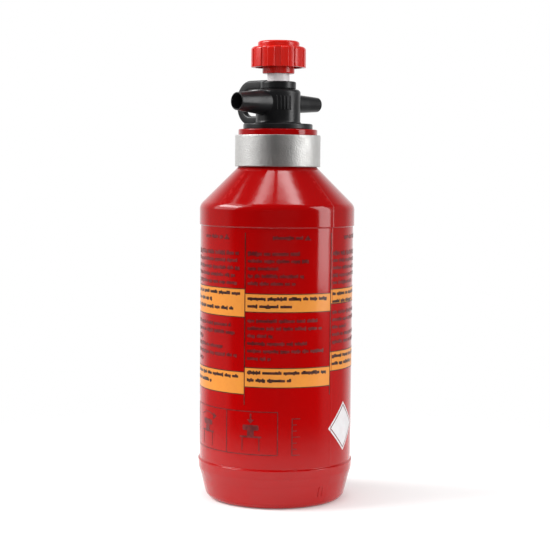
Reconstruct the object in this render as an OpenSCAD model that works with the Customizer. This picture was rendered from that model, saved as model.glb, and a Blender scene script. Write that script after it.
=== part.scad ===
// Fuel bottle of 0.3 litre with a turn and press pouring valve.
// Origin at the middle of the base, +Z up, spout along +X, air tube along -X, carry loop along -Y.

/* [Bottle] */
// Radius of the recessed print panel
body_r = 31.75; // [31:0.25:33]
// Wall thickness of the blown bottle
bottle_wall = 1.5; // [1.2:0.1:1.8]
// Height of the step above the base rim
base_step_z = 16.6; // [15:0.2:18]
// Height of the step under the shoulder rim
shoulder_step_z = 114; // [110:1:116]
// Outer radius of the neck under the aluminium ring
neck_r = 16.25; // [16:0.05:16.5]
// Height where the sloping shoulder meets the neck
neck_z = 138.2; // [137:0.2:140]
// Height of the neck's lip
lip_z = 153.7; // [153:0.1:155]
// Radius of the neck's lip
lip_r = 16.4; // [16.2:0.1:16.8]

/* [Neck ring] */
// Outer radius of the aluminium ring
ring_r = 17.75; // [17.4:0.05:18.2]
// Height of the aluminium ring
ring_h = 13.05; // [12.4:0.05:13.1]

/* [Screw thread] */
// Rise of the thread in one turn
thread_pitch = 4; // [3.6:0.2:4.4]
// Crest radius of the plug's thread
thread_r = 12; // [11.8:0.1:12.1]
// Depth of the plug's thread
thread_depth = 1.2; // [1:0.1:1.3]
// Radial gap between the two threads
thread_gap = 0.3; // [0.25:0.05:0.4]

/* [Valve housing] */
// Radius of the flange
flange_r = 14.4; // [14.2:0.1:15]
// Radius of the barrel
barrel_r = 9.25; // [9.1:0.05:9.6]
// Height of the barrel's top above the lip
barrel_h = 16.5; // [16:0.1:17]
// Radius of the chamber inside the barrel
chamber_r = 5.8; // [5.6:0.1:5.9]

/* [Spout and air tube] */
// Height of both tubes above the lip
tube_rise = 10.9; // [10.7:0.1:11.2]
// Reach of the spout from the axis
spout_reach = 23.3; // [20:0.1:28]
// Radius of the spout's bore
spout_bore_r = 3.2; // [2.8:0.1:3.2]
// Reach of the air tube from the axis
vent_reach = 23.1; // [20:0.1:28]
// Radius of the air tube's bore
vent_bore_r = 1.9; // [1.5:0.1:2]

/* [Carry loop] */
// Reach of the carry loop from the axis
loop_reach = 23.5; // [21.5:0.1:26]
// Thickness of the loop's bar in the loop's plane
loop_t = 3; // [2.4:0.1:3.2]
// Width of the loop's bar across the loop's plane
loop_w = 3.9; // [2.4:0.1:4.2]
// Radius of the loop's two bends
loop_bend = 6; // [4:0.5:6.5]

/* [Knob] */
// Radius of the knob over its ribs
knob_r = 11.4; // [10.8:0.1:12]
// Number of ribs round the knob
knob_ribs = 12; // [10:1:24]
// Height of the knob's top above the lip
knob_top = 36.3; // [36:0.1:37]
// Travel of the knob when it is pressed
press_travel = 3; // [2:0.5:3]
// Radius of the white stem
stem_r = 4.6; // [4.5:0.05:4.65]

/* [Hidden] */
$fn = 96;
eps = 0.02;

red_bottle = [0.72, 0.05, 0.09];
red_knob = [0.80, 0.09, 0.06];
black_nylon = [0.09, 0.09, 0.10];
white_acetal = [0.90, 0.89, 0.87];
bare_aluminium = [0.78, 0.78, 0.79];
bright_steel = [0.66, 0.66, 0.68];
black_rubber = [0.06, 0.06, 0.06];

// Bottle
rim_r = body_r + 0.7;                         // rim above the tapered base
shoulder_r = body_r + 0.45;                   // rim under the sloping shoulder
foot_r = 25.5;                                // outside of the ring that the bottle stands on
foot_corner = 4;                              // radius of the base's outer corner
push_up = 2.2;                                // hollow under the base
taper_z = 9.4;                                // where the base taper starts to swell into the rim
taper_r = body_r - 0.8;
shoulder_fillet = 4;
fillet_z = neck_z - (shoulder_r - neck_r) - shoulder_fillet * tan(22.5);
thread_bore_r = thread_r + thread_gap;        // bore of the neck between the thread's ridges
neck_mouth_r = thread_bore_r + 0.3;
ring_z = lip_z - 2.4 - ring_h;

// Screw thread
core_r = thread_r - thread_depth;             // plug under its thread
neck_crest_r = core_r + thread_gap + 0.15;    // crest of the ridges inside the neck
ridge_foot = 1.2;                             // half width of a ridge where it leaves its wall
ridge_crest = 0.6;                            // half width of a ridge at its crest
thread_steps = 24;                            // straight pieces in one turn
thread_z = lip_z - 12.2;                      // where both threads start, half a turn apart
neck_thread_turns = 2.4;
plug_thread_turns = 2.5;

// Valve housing, from the plug's mouth to the collar
plug_z = lip_z - 14.7;
flange_z = lip_z + 0.1;
flange_top = lip_z + 2.3;
gasket_t = 0.9;
gasket_r = flange_r - 0.8;
gasket_hole_r = core_r + 0.4;
seat_r = 9.6;
seat_t = 3;
seat_port_r = 3.1;
seat_ridge = 0.4;
barrel_z = lip_z + barrel_h;
barrel_round = 2;
guide_r = stem_r + 0.1;                       // bore that guides the stem
guide_z = barrel_z - 1.4;
spigot_r = chamber_r + 0.1;                   // spigot that carries the collar
spigot_top = barrel_z + 2.9;
duct_x = 7.3;                                 // air duct beside the chamber
duct_r = 1;
tube_z = lip_z + tube_rise;
socket_r = 4.2;
socket_x = 6.8;
air_socket_r = 3.2;
air_socket_x = duct_x + duct_r + 0.15;
grip_rib_angles = [43, 52, 61, 70, 79];       // short upright ribs beside the spout
grip_rib_h = 6;
loop_corner = 0.9;                            // rounding of the loop's bar

// Lock bush, pin and spring
bush_r = chamber_r;
bush_bore_r = 4.2;
bush_top = lip_z - 0.7;
lock_slot_w = 1.9;
pin_r = 0.75;
pin_half = 5.6;
pin_z = bush_top + 0.05 + pin_r;
washer_t = 0.8;
washer_z = pin_z - pin_r - 0.05 - washer_t;
washer_r = 4;
spring_z = plug_z + seat_t;
spring_wire_r = 0.4;
spring_mean_r = 3.2;
spring_turns = 7;
spring_len = washer_z - spring_z;

// Stem, poppet and screws
waist_r = 1.9;
tail_r = 1.6;
shank_z = barrel_z - 1.4;
seal_groove_z = barrel_z + 0.2;
seal_groove_h = 1.5;
seal_wire_r = 0.57;
seal_mean_r = guide_r - 0.03 - seal_wire_r;
seal_t = 1.2;
seal_top = plug_z - seat_ridge;
poppet_r = 9.4;
poppet_face = seal_top - seal_t;
poppet_z = poppet_face - 1.6;
screw_washer_t = 0.5;
tail_z = poppet_z - 0.05;
head_h = 1.8;

// Knob
knob_z = lip_z + 25.5;                        // bottom of the skirt
hub_z = lip_z + 22.95;                        // bottom of the hub
hub_r = 6.65;
skirt_r = 9.5;                                // inside of the skirt
knob_shoulder = lip_z + 34.1;
knob_roof = 2.3;
knob_round = [2.2, 1.6];                      // width and height of the skirt's top edge
knob_cap_r = 8.6;
cap_spigot_r = 6.8;
cap_seat = 1.3;
flute_depth = 0.45;
flute_start = 7;                              // angle of the first groove's edge
stem_top_r = 3;
stem_shoulder = hub_z + 2.5;
stem_top = knob_shoulder - 4.3;
recess_z = stem_top + 1.1;
recess_r = 3.7;

// Points of an arc round a centre, from one angle to another
function arc(c, r, from, to, n = 8) =
    [for (i = [0:n]) let (a = from + (to - from) * i / n) [c[0] + r * cos(a), c[1] + r * sin(a)]];

// Points of a curve from p to q that leans towards c
function curve(p, c, q, n = 6) =
    [for (i = [0:n]) let (t = i / n) (1 - t) * (1 - t) * p + 2 * t * (1 - t) * c + t * t * q];

// Faces of a closed skin over rings of points, each ring with the same number of points
function skin_faces(rings, per_ring) = concat(
    [[for (j = [per_ring - 1:-1:0]) j]],
    [for (i = [0:rings - 2], j = [0:per_ring - 1])
        let (k = (j + 1) % per_ring, a = i * per_ring, b = a + per_ring)
        each [[a + k, b + k, b + j], [a + k, b + j, a + j]]],
    [[for (j = [0:per_ring - 1]) (rings - 1) * per_ring + j]]
);

// A solid swept round the axis: profile(i) gives the section's radius and height pairs
module swept_round(sections, angles) {
    per_ring = len(sections[0]);
    polyhedron(
        points = [for (i = [0:len(sections) - 1], p = sections[i])
            [p[0] * cos(angles[i]), p[0] * sin(angles[i]), p[1]]],
        faces = skin_faces(len(sections), per_ring),
        convexity = 10
    );
}

// Screw ridge that stands on a wall of radius wall_r and fades out at both ends
module screw_ridge(wall_r, crest_r, z, turns, start) {
    steps = ceil(thread_steps * turns);
    side = sign(crest_r - wall_r);
    buried = wall_r - side * 0.4;
    fade = thread_steps / 4;
    sections = [for (i = [0:steps])
        let (grown = min(1, i / fade, (steps - i) / fade),
             tip = wall_r - side * 0.1 + (crest_r - wall_r + side * 0.1) * grown,
             h = z + thread_pitch * turns * i / steps,
             inner = min(buried, tip), outer = max(buried, tip),
             inner_half = side > 0 ? ridge_foot : ridge_crest,
             outer_half = side > 0 ? ridge_crest : ridge_foot)
        [[inner, h - inner_half], [outer, h - outer_half], [outer, h + outer_half], [inner, h + inner_half]]];
    swept_round(sections, [for (i = [0:steps]) start + 360 * turns * i / steps]);
}

// Round ring or washer
module washer(outer, inner, z, h) {
    translate([0, 0, z])
        difference() {
            cylinder(r = outer, h = h);
            translate([0, 0, -1])
                cylinder(r = inner, h = h + 2);
        }
}

// Pan head screw that points up or down, with a cross recess in its head
module pan_screw(shank_r, shank_len, head_r, head_h) {
    difference() {
        union() {
            rotate_extrude()
                polygon(concat(
                    [[0, 0], [head_r, 0]],
                    arc([head_r - 0.6, head_h - 0.6], 0.6, 0, 90, 4),
                    [[0, head_h]]
                ));
            translate([0, 0, -shank_len])
                cylinder(r = shank_r, h = shank_len + eps);
        }
        for (turn = [0, 90])
            rotate([0, 0, turn])
                translate([-head_r * 0.6, -0.35, head_h - 0.9])
                    cube([head_r * 1.2, 0.7, 1.5]);
    }
}

// Outline of the bottle's outside, from under the base to the lip
function bottle_outside() = concat(
    [[0, push_up + 0.4], [14, push_up + 0.2]],
    curve([20.4, push_up - 0.3], [22.4, push_up - 0.6], [foot_r - 2.2, 0], 4),
    arc([foot_r, foot_corner], foot_corner, -90, 0),
    curve([taper_r, taper_z], [body_r + 0.45, taper_z + 3.4], [rim_r, base_step_z - 0.6]),
    [[rim_r - 0.15, base_step_z - 0.25], [body_r + 0.12, base_step_z + 0.25], [body_r, base_step_z + 0.8]],
    [[body_r - 0.08, (base_step_z + shoulder_step_z) / 2]],
    [[body_r, shoulder_step_z - 0.7], [body_r + 0.1, shoulder_step_z - 0.3]],
    [[shoulder_r - 0.12, shoulder_step_z + 0.15], [shoulder_r, shoulder_step_z + 0.5]],
    arc([shoulder_r - shoulder_fillet, fillet_z], shoulder_fillet, 0, 45),
    [[neck_r, neck_z], [neck_r, lip_z - 2.4]],
    [[lip_r, lip_z - 2.4 + eps], [lip_r, lip_z - 0.4], [lip_r - 0.4, lip_z]]
);

// Outline of the bottle's inside, from the neck's mouth down to the middle of the base
function bottle_inside() = let (
    w = bottle_wall,
    turn_z = fillet_z + (shoulder_fillet - w) * sin(45),
    turn_r = shoulder_r - shoulder_fillet + (shoulder_fillet - w) * cos(45)
) concat(
    [[neck_mouth_r, lip_z], [thread_bore_r, lip_z - 0.8], [thread_bore_r, turn_z + turn_r - thread_bore_r]],
    arc([shoulder_r - shoulder_fillet, fillet_z], shoulder_fillet - w, 45, 0),
    [[shoulder_r - w, shoulder_step_z + 0.8], [body_r - w, shoulder_step_z - 0.4]],
    [[body_r - w, base_step_z + 0.6], [rim_r - w, base_step_z - 0.8]],
    curve([rim_r - w - 0.2, base_step_z - 2], [body_r - w + 0.1, taper_z + 3], [taper_r - w, taper_z]),
    arc([foot_r, foot_corner], foot_corner - w, 0, -90),
    curve([foot_r - 2.2, w], [22, w + push_up - 0.4], [19.6, w + push_up - 0.1], 4),
    [[0, w + push_up + 0.4]]
);

module bottle_shell() {
    color(red_bottle)
        union() {
            rotate_extrude()
                polygon(concat(bottle_outside(), bottle_inside()));
            screw_ridge(thread_bore_r, neck_crest_r, thread_z, neck_thread_turns, 180);
        }
}

module neck_ring() {
    edge = 0.3;
    inner = neck_r + 0.05;
    color(bare_aluminium)
        translate([0, 0, ring_z])
            rotate_extrude()
                polygon([
                    [inner, 0], [ring_r - edge, 0], [ring_r, edge],
                    [ring_r, ring_h - edge], [ring_r - edge, ring_h], [inner, ring_h],
                ]);
}

module flange_gasket() {
    color(black_rubber)
        washer(gasket_r, gasket_hole_r, lip_z, gasket_t);
}

// Outside of the plug, flange, barrel and collar spigot as one turned shape
module housing_outside() {
    rotate_extrude()
        polygon(concat(
            [[0, plug_z], [core_r - 0.5, plug_z], [core_r, plug_z + 0.5], [core_r, lip_z + gasket_t]],
            [[gasket_r + 0.05, lip_z + gasket_t], [gasket_r + 0.05, flange_z], [flange_r - 0.2, flange_z]],
            [[flange_r, flange_z + 0.2], [flange_r, flange_top - 0.5], [flange_r - 0.5, flange_top]],
            [[barrel_r + 1.2, flange_top]],
            arc([barrel_r + 1.2, flange_top + 1.2], 1.2, -90, -180, 4),
            arc([barrel_r - barrel_round, barrel_z - barrel_round], barrel_round, 0, 90, 6),
            [[spigot_r, barrel_z], [spigot_r, spigot_top], [0, spigot_top]]
        ));
}

// The barrel alone, as the shape that the two tubes are cut to
module barrel_form() {
    rotate_extrude()
        polygon(concat(
            [[0, flange_top], [barrel_r, flange_top]],
            arc([barrel_r - barrel_round, barrel_z - barrel_round], barrel_round, 0, 90, 6),
            [[0, barrel_z]]
        ));
}

// One short upright rib on the barrel
module grip_rib(angle) {
    rotate([0, 0, angle])
        translate([barrel_r - 0.6, -0.35, tube_z - grip_rib_h / 2])
            cube([0.85, 0.7, grip_rib_h]);
}

module valve_housing() {
    color(black_nylon)
        difference() {
            union() {
                housing_outside();
                screw_ridge(core_r, thread_r, thread_z, plug_thread_turns, 0);
                for (angle = grip_rib_angles)
                    grip_rib(angle);
            }
            // Seat pocket, chamber and stem guide
            translate([0, 0, plug_z - 1])
                cylinder(r = seat_r, h = seat_t + 1);
            translate([0, 0, plug_z])
                cylinder(r = chamber_r, h = guide_z - plug_z);
            translate([0, 0, plug_z])
                cylinder(r = guide_r, h = 60);
            // Air duct down through the plug
            translate([-duct_x, 0, plug_z])
                cylinder(r = duct_r, h = tube_z - plug_z, $fn = 32);
            // Sockets and bores for the two tubes
            translate([socket_x, 0, tube_z])
                rotate([0, 90, 0])
                    cylinder(r = socket_r, h = 10);
            translate([0, 0, tube_z])
                rotate([0, 90, 0])
                    cylinder(r = spout_bore_r, h = 10);
            translate([-air_socket_x, 0, tube_z])
                rotate([0, -90, 0])
                    cylinder(r = air_socket_r, h = 10);
            translate([-duct_x, 0, tube_z])
                rotate([0, -90, 0])
                    cylinder(r = vent_bore_r, h = 10);
        }
}

// Tapered tube along +X that fits the barrel and plugs into its socket
module barrel_tube(root_r, tip_r, reach, bore_r, plug_r, plug_x, lip_round) {
    translate([0, 0, tube_z])
        rotate([0, 90, 0])
            difference() {
                union() {
                    difference() {
                        rotate_extrude()
                            polygon(concat(
                                [[0, 0], [root_r, 0], [root_r, barrel_r - 1]],
                                arc([tip_r - lip_round, reach - lip_round], lip_round, 0, 90, 5),
                                [[0, reach]]
                            ));
                        rotate([0, -90, 0])
                            translate([0, 0, -tube_z])
                                barrel_form();
                    }
                    translate([0, 0, plug_x])
                        cylinder(r = plug_r, h = barrel_r + 1 - plug_x);
                }
                translate([0, 0, -1])
                    cylinder(r = bore_r, h = reach + 2);
            }
}

module pour_spout() {
    color(black_nylon)
        barrel_tube(5.2, 3.65, spout_reach, spout_bore_r, socket_r, socket_x, 0.3);
}

module air_tube() {
    color(black_nylon)
        mirror([1, 0, 0])
            barrel_tube(4, 3.05, vent_reach, vent_bore_r, air_socket_r, air_socket_x, 1);
}

// Rounded section of the loop's bar, with X in the loop's plane
module loop_section() {
    x = loop_t / 2 - loop_corner;
    y = loop_w / 2 - loop_corner;
    polygon(concat(
        arc([x, y], loop_corner, 0, 90, 4), arc([-x, y], loop_corner, 90, 180, 4),
        arc([-x, -y], loop_corner, 180, 270, 4), arc([x, -y], loop_corner, 270, 360, 4)
    ));
}

// A quarter bend of the bar round a centre in the loop's plane
module loop_quarter(x, z, turn) {
    translate([x, 0, z])
        rotate([90, turn, 0])
            rotate_extrude(angle = 90)
                translate([loop_bend, 0])
                    loop_section();
}

// Bar of the loop, bent in the plane of the axis, from the collar down to the flange
module loop_bar() {
    far = loop_reach - loop_t / 2;
    high = barrel_z + 2.15;
    low = flange_top + loop_t / 2 - 0.1;
    start = spigot_r + 1;
    foot = barrel_r + 1.3;
    rotate([0, 0, -90]) {
        translate([start, 0, high])
            rotate([0, 90, 0])
                linear_extrude(far - loop_bend - start)
                    loop_section();
        loop_quarter(far - loop_bend, high - loop_bend, 0);
        translate([far, 0, low + loop_bend])
            linear_extrude(high - low - 2 * loop_bend)
                loop_section();
        loop_quarter(far - loop_bend, low + loop_bend, 90);
        translate([foot, 0, low])
            rotate([0, 90, 0])
                linear_extrude(far - loop_bend - foot)
                    loop_section();
    }
}

module carry_loop() {
    edge = 0.6;
    outer = 7.35;
    low = barrel_z + 0.2;
    high = barrel_z + 3.2;
    color(black_nylon)
        union() {
            rotate_extrude()
                polygon([
                    [spigot_r + eps, low], [outer - 0.3, low], [outer, low + 0.3],
                    [outer, high - edge], [outer - edge, high], [guide_r + 0.1, high],
                    [guide_r + 0.1, spigot_top + eps], [spigot_r + eps, spigot_top + eps],
                ]);
            difference() {
                loop_bar();
                translate([0, 0, flange_z])
                    cylinder(r = flange_r + 3, h = flange_top - flange_z);
            }
        }
}

module valve_seat() {
    color(white_acetal)
        difference() {
            union() {
                translate([0, 0, plug_z])
                    cylinder(r = seat_r, h = seat_t);
                translate([0, 0, plug_z - seat_ridge])
                    cylinder(r = seat_port_r + 0.7, h = 1);
                translate([-duct_x, 0, plug_z - seat_ridge])
                    cylinder(r = duct_r + 0.5, h = 1, $fn = 32);
            }
            translate([0, 0, plug_z - 2])
                cylinder(r = seat_port_r, h = seat_t + 4);
            translate([-duct_x, 0, plug_z - 2])
                cylinder(r = duct_r, h = seat_t + 4, $fn = 32);
        }
}

module lock_bush() {
    color(white_acetal)
        difference() {
            washer(bush_r, bush_bore_r, plug_z + seat_t, bush_top - plug_z - seat_t);
            for (turn = [0, 90])
                rotate([0, 0, turn])
                    translate([-bush_r - 1, -lock_slot_w / 2, pin_z - pin_r - press_travel - 0.6])
                        cube([2 * bush_r + 2, lock_slot_w, 10]);
        }
}

// One unbroken wire: a close coil at each end and open coils between them
module return_spring() {
    steps = 16;
    rings = steps * spring_turns;
    sides = 8;
    rise = spring_len - 2 * spring_wire_r;
    dead = 1 / spring_turns;
    closed = 2.6 * spring_wire_r / rise;
    sections = [for (i = [0:rings])
        let (t = i / rings,
             up = t < dead ? closed * t / dead
                : t > 1 - dead ? 1 - closed * (1 - t) / dead
                : closed + (1 - 2 * closed) * (t - dead) / (1 - 2 * dead))
        [for (s = [0:sides - 1])
            [spring_mean_r + spring_wire_r * cos(360 * s / sides),
             spring_z + spring_wire_r + rise * up + spring_wire_r * sin(360 * s / sides)]]];
    color(bright_steel)
        swept_round(sections, [for (i = [0:rings]) 360 * spring_turns * i / rings]);
}

module spring_washer() {
    color(bright_steel)
        difference() {
            washer(washer_r, waist_r + 0.1, washer_z, washer_t);
            for (turn = [0:90:270])
                rotate([0, 0, turn + 45])
                    translate([washer_r, 0, washer_z - 1])
                        cylinder(r = 0.8, h = washer_t + 2, $fn = 32);
        }
}

module poppet() {
    color(white_acetal)
        rotate_extrude()
            polygon([
                [tail_r + 0.1, poppet_z], [4.2, poppet_z], [poppet_r - 0.6, poppet_face - 0.9],
                [poppet_r, poppet_face - 0.5], [poppet_r, poppet_face + 0.6], [poppet_r - 0.4, poppet_face + 0.6],
                [poppet_r - 0.4, poppet_face], [tail_r + 0.1, poppet_face],
            ]);
}

module poppet_seal() {
    color(black_rubber)
        washer(poppet_r - 0.5, tail_r + 0.1, poppet_face, seal_t);
}

module stem() {
    color(white_acetal)
        difference() {
            rotate_extrude()
                polygon([
                    [0, tail_z], [tail_r, tail_z], [tail_r, seal_top + 0.1],
                    [waist_r, seal_top + 0.1], [waist_r, shank_z - 2.2], [stem_r, shank_z + 0.1],
                    [stem_r, seal_groove_z], [seal_mean_r - seal_wire_r - eps, seal_groove_z],
                    [seal_mean_r - seal_wire_r - eps, seal_groove_z + seal_groove_h],
                    [stem_r, seal_groove_z + seal_groove_h], [stem_r, stem_shoulder],
                    [stem_top_r, stem_shoulder], [stem_top_r, stem_top], [0, stem_top],
                ]);
            translate([0, 0, stem_top - 7])
                cylinder(r = 1.5, h = 8, $fn = 32);
            translate([0, 0, tail_z - 1])
                cylinder(r = 0.9, h = 7, $fn = 32);
            translate([-10, 0, pin_z])
                rotate([0, 90, 0])
                    cylinder(r = pin_r + 0.01, h = 20, $fn = 32);
        }
}

module stem_seal() {
    color(black_rubber)
        translate([0, 0, seal_groove_z + seal_groove_h / 2])
            rotate_extrude()
                translate([seal_mean_r, 0])
                    circle(r = seal_wire_r, $fn = 32);
}

module lock_pin() {
    color(bright_steel)
        translate([-pin_half, 0, pin_z])
            rotate([0, 90, 0])
                cylinder(r = pin_r, h = 2 * pin_half, $fn = 32);
}

module poppet_washer() {
    color(bright_steel)
        washer(3.6, 1, tail_z - screw_washer_t, screw_washer_t);
}

module poppet_screw() {
    color(bright_steel)
        translate([0, 0, tail_z - screw_washer_t])
            mirror([0, 0, 1])
                pan_screw(0.88, 5.5, 2.4, head_h);
}

module knob() {
    color(red_knob)
        difference() {
            rotate_extrude()
                polygon(concat(
                    [[stem_r + 0.1, hub_z], [hub_r - 0.4, hub_z], [hub_r, hub_z + 0.4]],
                    [[hub_r, knob_shoulder - knob_roof], [skirt_r, knob_shoulder - knob_roof - 0.6]],
                    [[skirt_r + 0.3, knob_z], [knob_r - 0.2, knob_z], [knob_r, knob_z + 0.2]],
                    curve([knob_r, knob_shoulder - knob_round[1]], [knob_r, knob_shoulder - 0.1],
                          [knob_r - knob_round[0], knob_shoulder]),
                    [[cap_spigot_r + 0.05, knob_shoulder], [cap_spigot_r + 0.05, knob_shoulder - cap_seat]],
                    [[recess_r, knob_shoulder - cap_seat], [recess_r, recess_z], [1.55, recess_z]],
                    [[1.55, stem_top], [stem_top_r + 0.05, stem_top], [stem_top_r + 0.05, stem_shoulder]],
                    [[stem_r + 0.1, stem_shoulder]]
                ));
            for (i = [0:knob_ribs - 1])
                rotate([0, 0, flute_start + 360 * i / knob_ribs])
                    rotate_extrude(angle = 180 / knob_ribs)
                        translate([knob_r - flute_depth, knob_z - 1])
                            square([3, knob_shoulder - knob_z + 3]);
        }
}

module knob_screw() {
    color(bright_steel)
        translate([0, 0, recess_z])
            pan_screw(1.45, recess_z - stem_top + 6, 2.9, head_h);
}

module knob_cap() {
    top = lip_z + knob_top;
    edge = 1.1;
    color(red_knob)
        rotate_extrude()
            polygon(concat(
                [[0, knob_shoulder - cap_seat + 0.1], [cap_spigot_r, knob_shoulder - cap_seat + 0.1]],
                [[cap_spigot_r, knob_shoulder], [knob_cap_r, knob_shoulder]],
                arc([knob_cap_r - edge, top - edge], edge, 0, 90, 6),
                [[6.2, top], [5.9, top - 0.25], [0, top - 0.25]]
            ));
}

bottle_shell();
neck_ring();
flange_gasket();
valve_housing();
pour_spout();
air_tube();
carry_loop();
valve_seat();
lock_bush();
return_spring();
spring_washer();
poppet();
poppet_seal();
stem();
stem_seal();
lock_pin();
poppet_washer();
poppet_screw();
knob();
knob_screw();
knob_cap();
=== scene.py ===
import random
from math import atan2, cos, pi, radians, sin, sqrt, tan
import bpy
from mathutils import Matrix, Vector


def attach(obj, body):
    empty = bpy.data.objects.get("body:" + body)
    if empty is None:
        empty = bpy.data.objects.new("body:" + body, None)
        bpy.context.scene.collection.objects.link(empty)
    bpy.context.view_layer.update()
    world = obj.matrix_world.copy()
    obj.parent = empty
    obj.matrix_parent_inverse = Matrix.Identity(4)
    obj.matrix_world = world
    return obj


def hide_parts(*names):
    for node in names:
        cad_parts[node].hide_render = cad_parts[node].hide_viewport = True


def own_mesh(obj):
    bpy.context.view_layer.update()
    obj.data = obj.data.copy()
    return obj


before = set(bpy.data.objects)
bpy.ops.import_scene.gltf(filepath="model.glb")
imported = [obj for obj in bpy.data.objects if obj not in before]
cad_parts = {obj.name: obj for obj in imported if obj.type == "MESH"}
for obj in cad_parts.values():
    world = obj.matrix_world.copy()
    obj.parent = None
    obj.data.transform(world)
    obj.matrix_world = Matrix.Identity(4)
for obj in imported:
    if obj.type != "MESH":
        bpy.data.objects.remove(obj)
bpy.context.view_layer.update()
mm = 0.001
scene = bpy.context.scene
print("frame loaded,", len(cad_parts), "nodes")


def put(tree, kind, inputs=None, **settings):  # one node, its settings and what feeds it
    node = tree.nodes.new(kind)
    for key, value in settings.items():
        setattr(node, key, value)
    for key, value in (inputs or {}).items():
        if isinstance(value, bpy.types.NodeSocket):
            tree.links.new(value, node.inputs[key])
        else:
            node.inputs[key].default_value = value
    return node


def calc(tree, operation, *values, clamp=False):
    node = put(tree, "ShaderNodeMath", dict(enumerate(values)), operation=operation)
    node.use_clamp = clamp
    return node.outputs[0]


def ramp(tree, value, low, high, kind="SMOOTHSTEP"):  # 0 below low, 1 above high
    return put(tree, "ShaderNodeMapRange", {0: value, 1: low, 2: high}, interpolation_type=kind).outputs[0]


# A node group with named inputs and their starting values, and named outputs
def openGroup(name, kind, inputs, outputs):
    tree = bpy.data.node_groups.new(name, kind)
    for label, (socketType, value) in inputs.items():
        socket = tree.interface.new_socket(label, in_out="INPUT", socket_type="NodeSocket" + socketType)
        if value is not None:
            socket.default_value = value
    for label, socketType in outputs.items():
        tree.interface.new_socket(label, in_out="OUTPUT", socket_type="NodeSocket" + socketType)
    return tree, tree.nodes.new("NodeGroupInput").outputs, tree.nodes.new("NodeGroupOutput").inputs


# Shared surface effects

def makeFineGrain():  # moulding grain for the bump, and slow cloudiness for colour and gloss
    tree, given, out = openGroup("fineGrain", "ShaderNodeTree", {
        "Grain size": ("Float", 0.0004), "Cloud size": ("Float", 0.012)}, {"Height": "Float", "Cloud": "Float"})
    place = put(tree, "ShaderNodeTexCoord").outputs["Object"]
    grain = put(tree, "ShaderNodeTexNoise", {
        "Vector": place, "Scale": calc(tree, "DIVIDE", 1.0, given["Grain size"]), "Detail": 3.0, "Roughness": 0.55})
    cloud = put(tree, "ShaderNodeTexNoise", {
        "Vector": place, "Scale": calc(tree, "DIVIDE", 1.0, given["Cloud size"]), "Detail": 2.0, "Roughness": 0.5})
    tree.links.new(grain.outputs[0], out["Height"])
    tree.links.new(cloud.outputs[0], out["Cloud"])
    return tree


def makeEdgeWearAndSheen():  # rubbed corners, broken up by noise; on the cap the same mask paints a highlight on the rounded edge
    tree, given, out = openGroup("edgeWearAndSheen", "ShaderNodeTree", {
        "Start": ("Float", 0.53), "Full": ("Float", 0.62), "Patch size": ("Float", 0.002)}, {"Mask": "Float"})
    place = put(tree, "ShaderNodeTexCoord").outputs["Object"]
    edge = ramp(tree, put(tree, "ShaderNodeNewGeometry").outputs["Pointiness"], given["Start"], given["Full"])
    patch = put(tree, "ShaderNodeTexNoise", {
        "Vector": place, "Scale": calc(tree, "DIVIDE", 1.0, given["Patch size"]), "Detail": 4.0}).outputs[0]
    tree.links.new(calc(tree, "MULTIPLY", edge, ramp(tree, patch, 0.42, 0.62)), out["Mask"])
    return tree


def makeScuffs():  # hair-thin rubbing marks in two crossing directions
    tree, given, out = openGroup("scuffs", "ShaderNodeTree", {
        "Width": ("Float", 0.00012), "Coverage": ("Float", 0.3)}, {"Mask": "Float"})
    place = put(tree, "ShaderNodeTexCoord").outputs["Object"]
    threshold = calc(tree, "SUBTRACT", 0.72, calc(tree, "MULTIPLY", given["Coverage"], 0.2))
    marks = []
    for turn, stretch in (((0.5, 0.2, 0.3), 0.04), ((-0.9, 0.1, 1.1), 0.03)):
        turned = put(tree, "ShaderNodeMapping", {"Vector": place, "Rotation": turn, "Scale": (1.0, 1.0, stretch)})
        line = put(tree, "ShaderNodeTexNoise", {
            "Vector": turned.outputs[0], "Scale": calc(tree, "DIVIDE", 0.25, given["Width"]), "Detail": 1.0}).outputs[0]
        marks.append(ramp(tree, line, threshold, calc(tree, "ADD", threshold, 0.03)))
    tree.links.new(calc(tree, "MAXIMUM", *marks), out["Mask"])
    return tree


def makeTurnedLines():  # fine rings left by the lathe, by height only
    tree, given, out = openGroup("turnedLines", "ShaderNodeTree", {"Pitch": ("Float", 0.0002)}, {"Height": "Float"})
    place = put(tree, "ShaderNodeTexCoord").outputs["Object"]
    flat = put(tree, "ShaderNodeMapping", {"Vector": place, "Scale": (0.004, 0.004, 1.0)})
    lines = put(tree, "ShaderNodeTexNoise", {
        "Vector": flat.outputs[0], "Scale": calc(tree, "DIVIDE", 1.0, given["Pitch"]), "Detail": 2.0}).outputs[0]
    tree.links.new(lines, out["Height"])
    return tree


fineGrain, edgeWearAndSheen, scuffs, turnedLines = makeFineGrain(), makeEdgeWearAndSheen(), makeScuffs(), makeTurnedLines()


def useGroup(tree, group, **values):  # a group node with its own values
    node = put(tree, "ShaderNodeGroup", node_tree=group)
    for label, value in values.items():
        node.inputs[label.replace("_", " ")].default_value = value
    return node.outputs


def blendColour(tree, factor, first, second):
    node = put(tree, "ShaderNodeMix", data_type="RGBA")
    for key, value in (("Factor", factor), ("A", first), ("B", second)):
        socket = [s for s in node.inputs if s.name == key and (s.type == "RGBA") == (key != "Factor")][0]
        if isinstance(value, bpy.types.NodeSocket):
            tree.links.new(value, socket)
        else:
            socket.default_value = value if key == "Factor" else (*value, 1.0)
    return [s for s in node.outputs if s.type == "RGBA"][0]


def scaled(tree, value, low, high):  # 0 to 1 spread over low to high
    return put(tree, "ShaderNodeMapRange", {0: value, 1: 0.0, 2: 1.0, 3: low, 4: high}).outputs[0]
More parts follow.
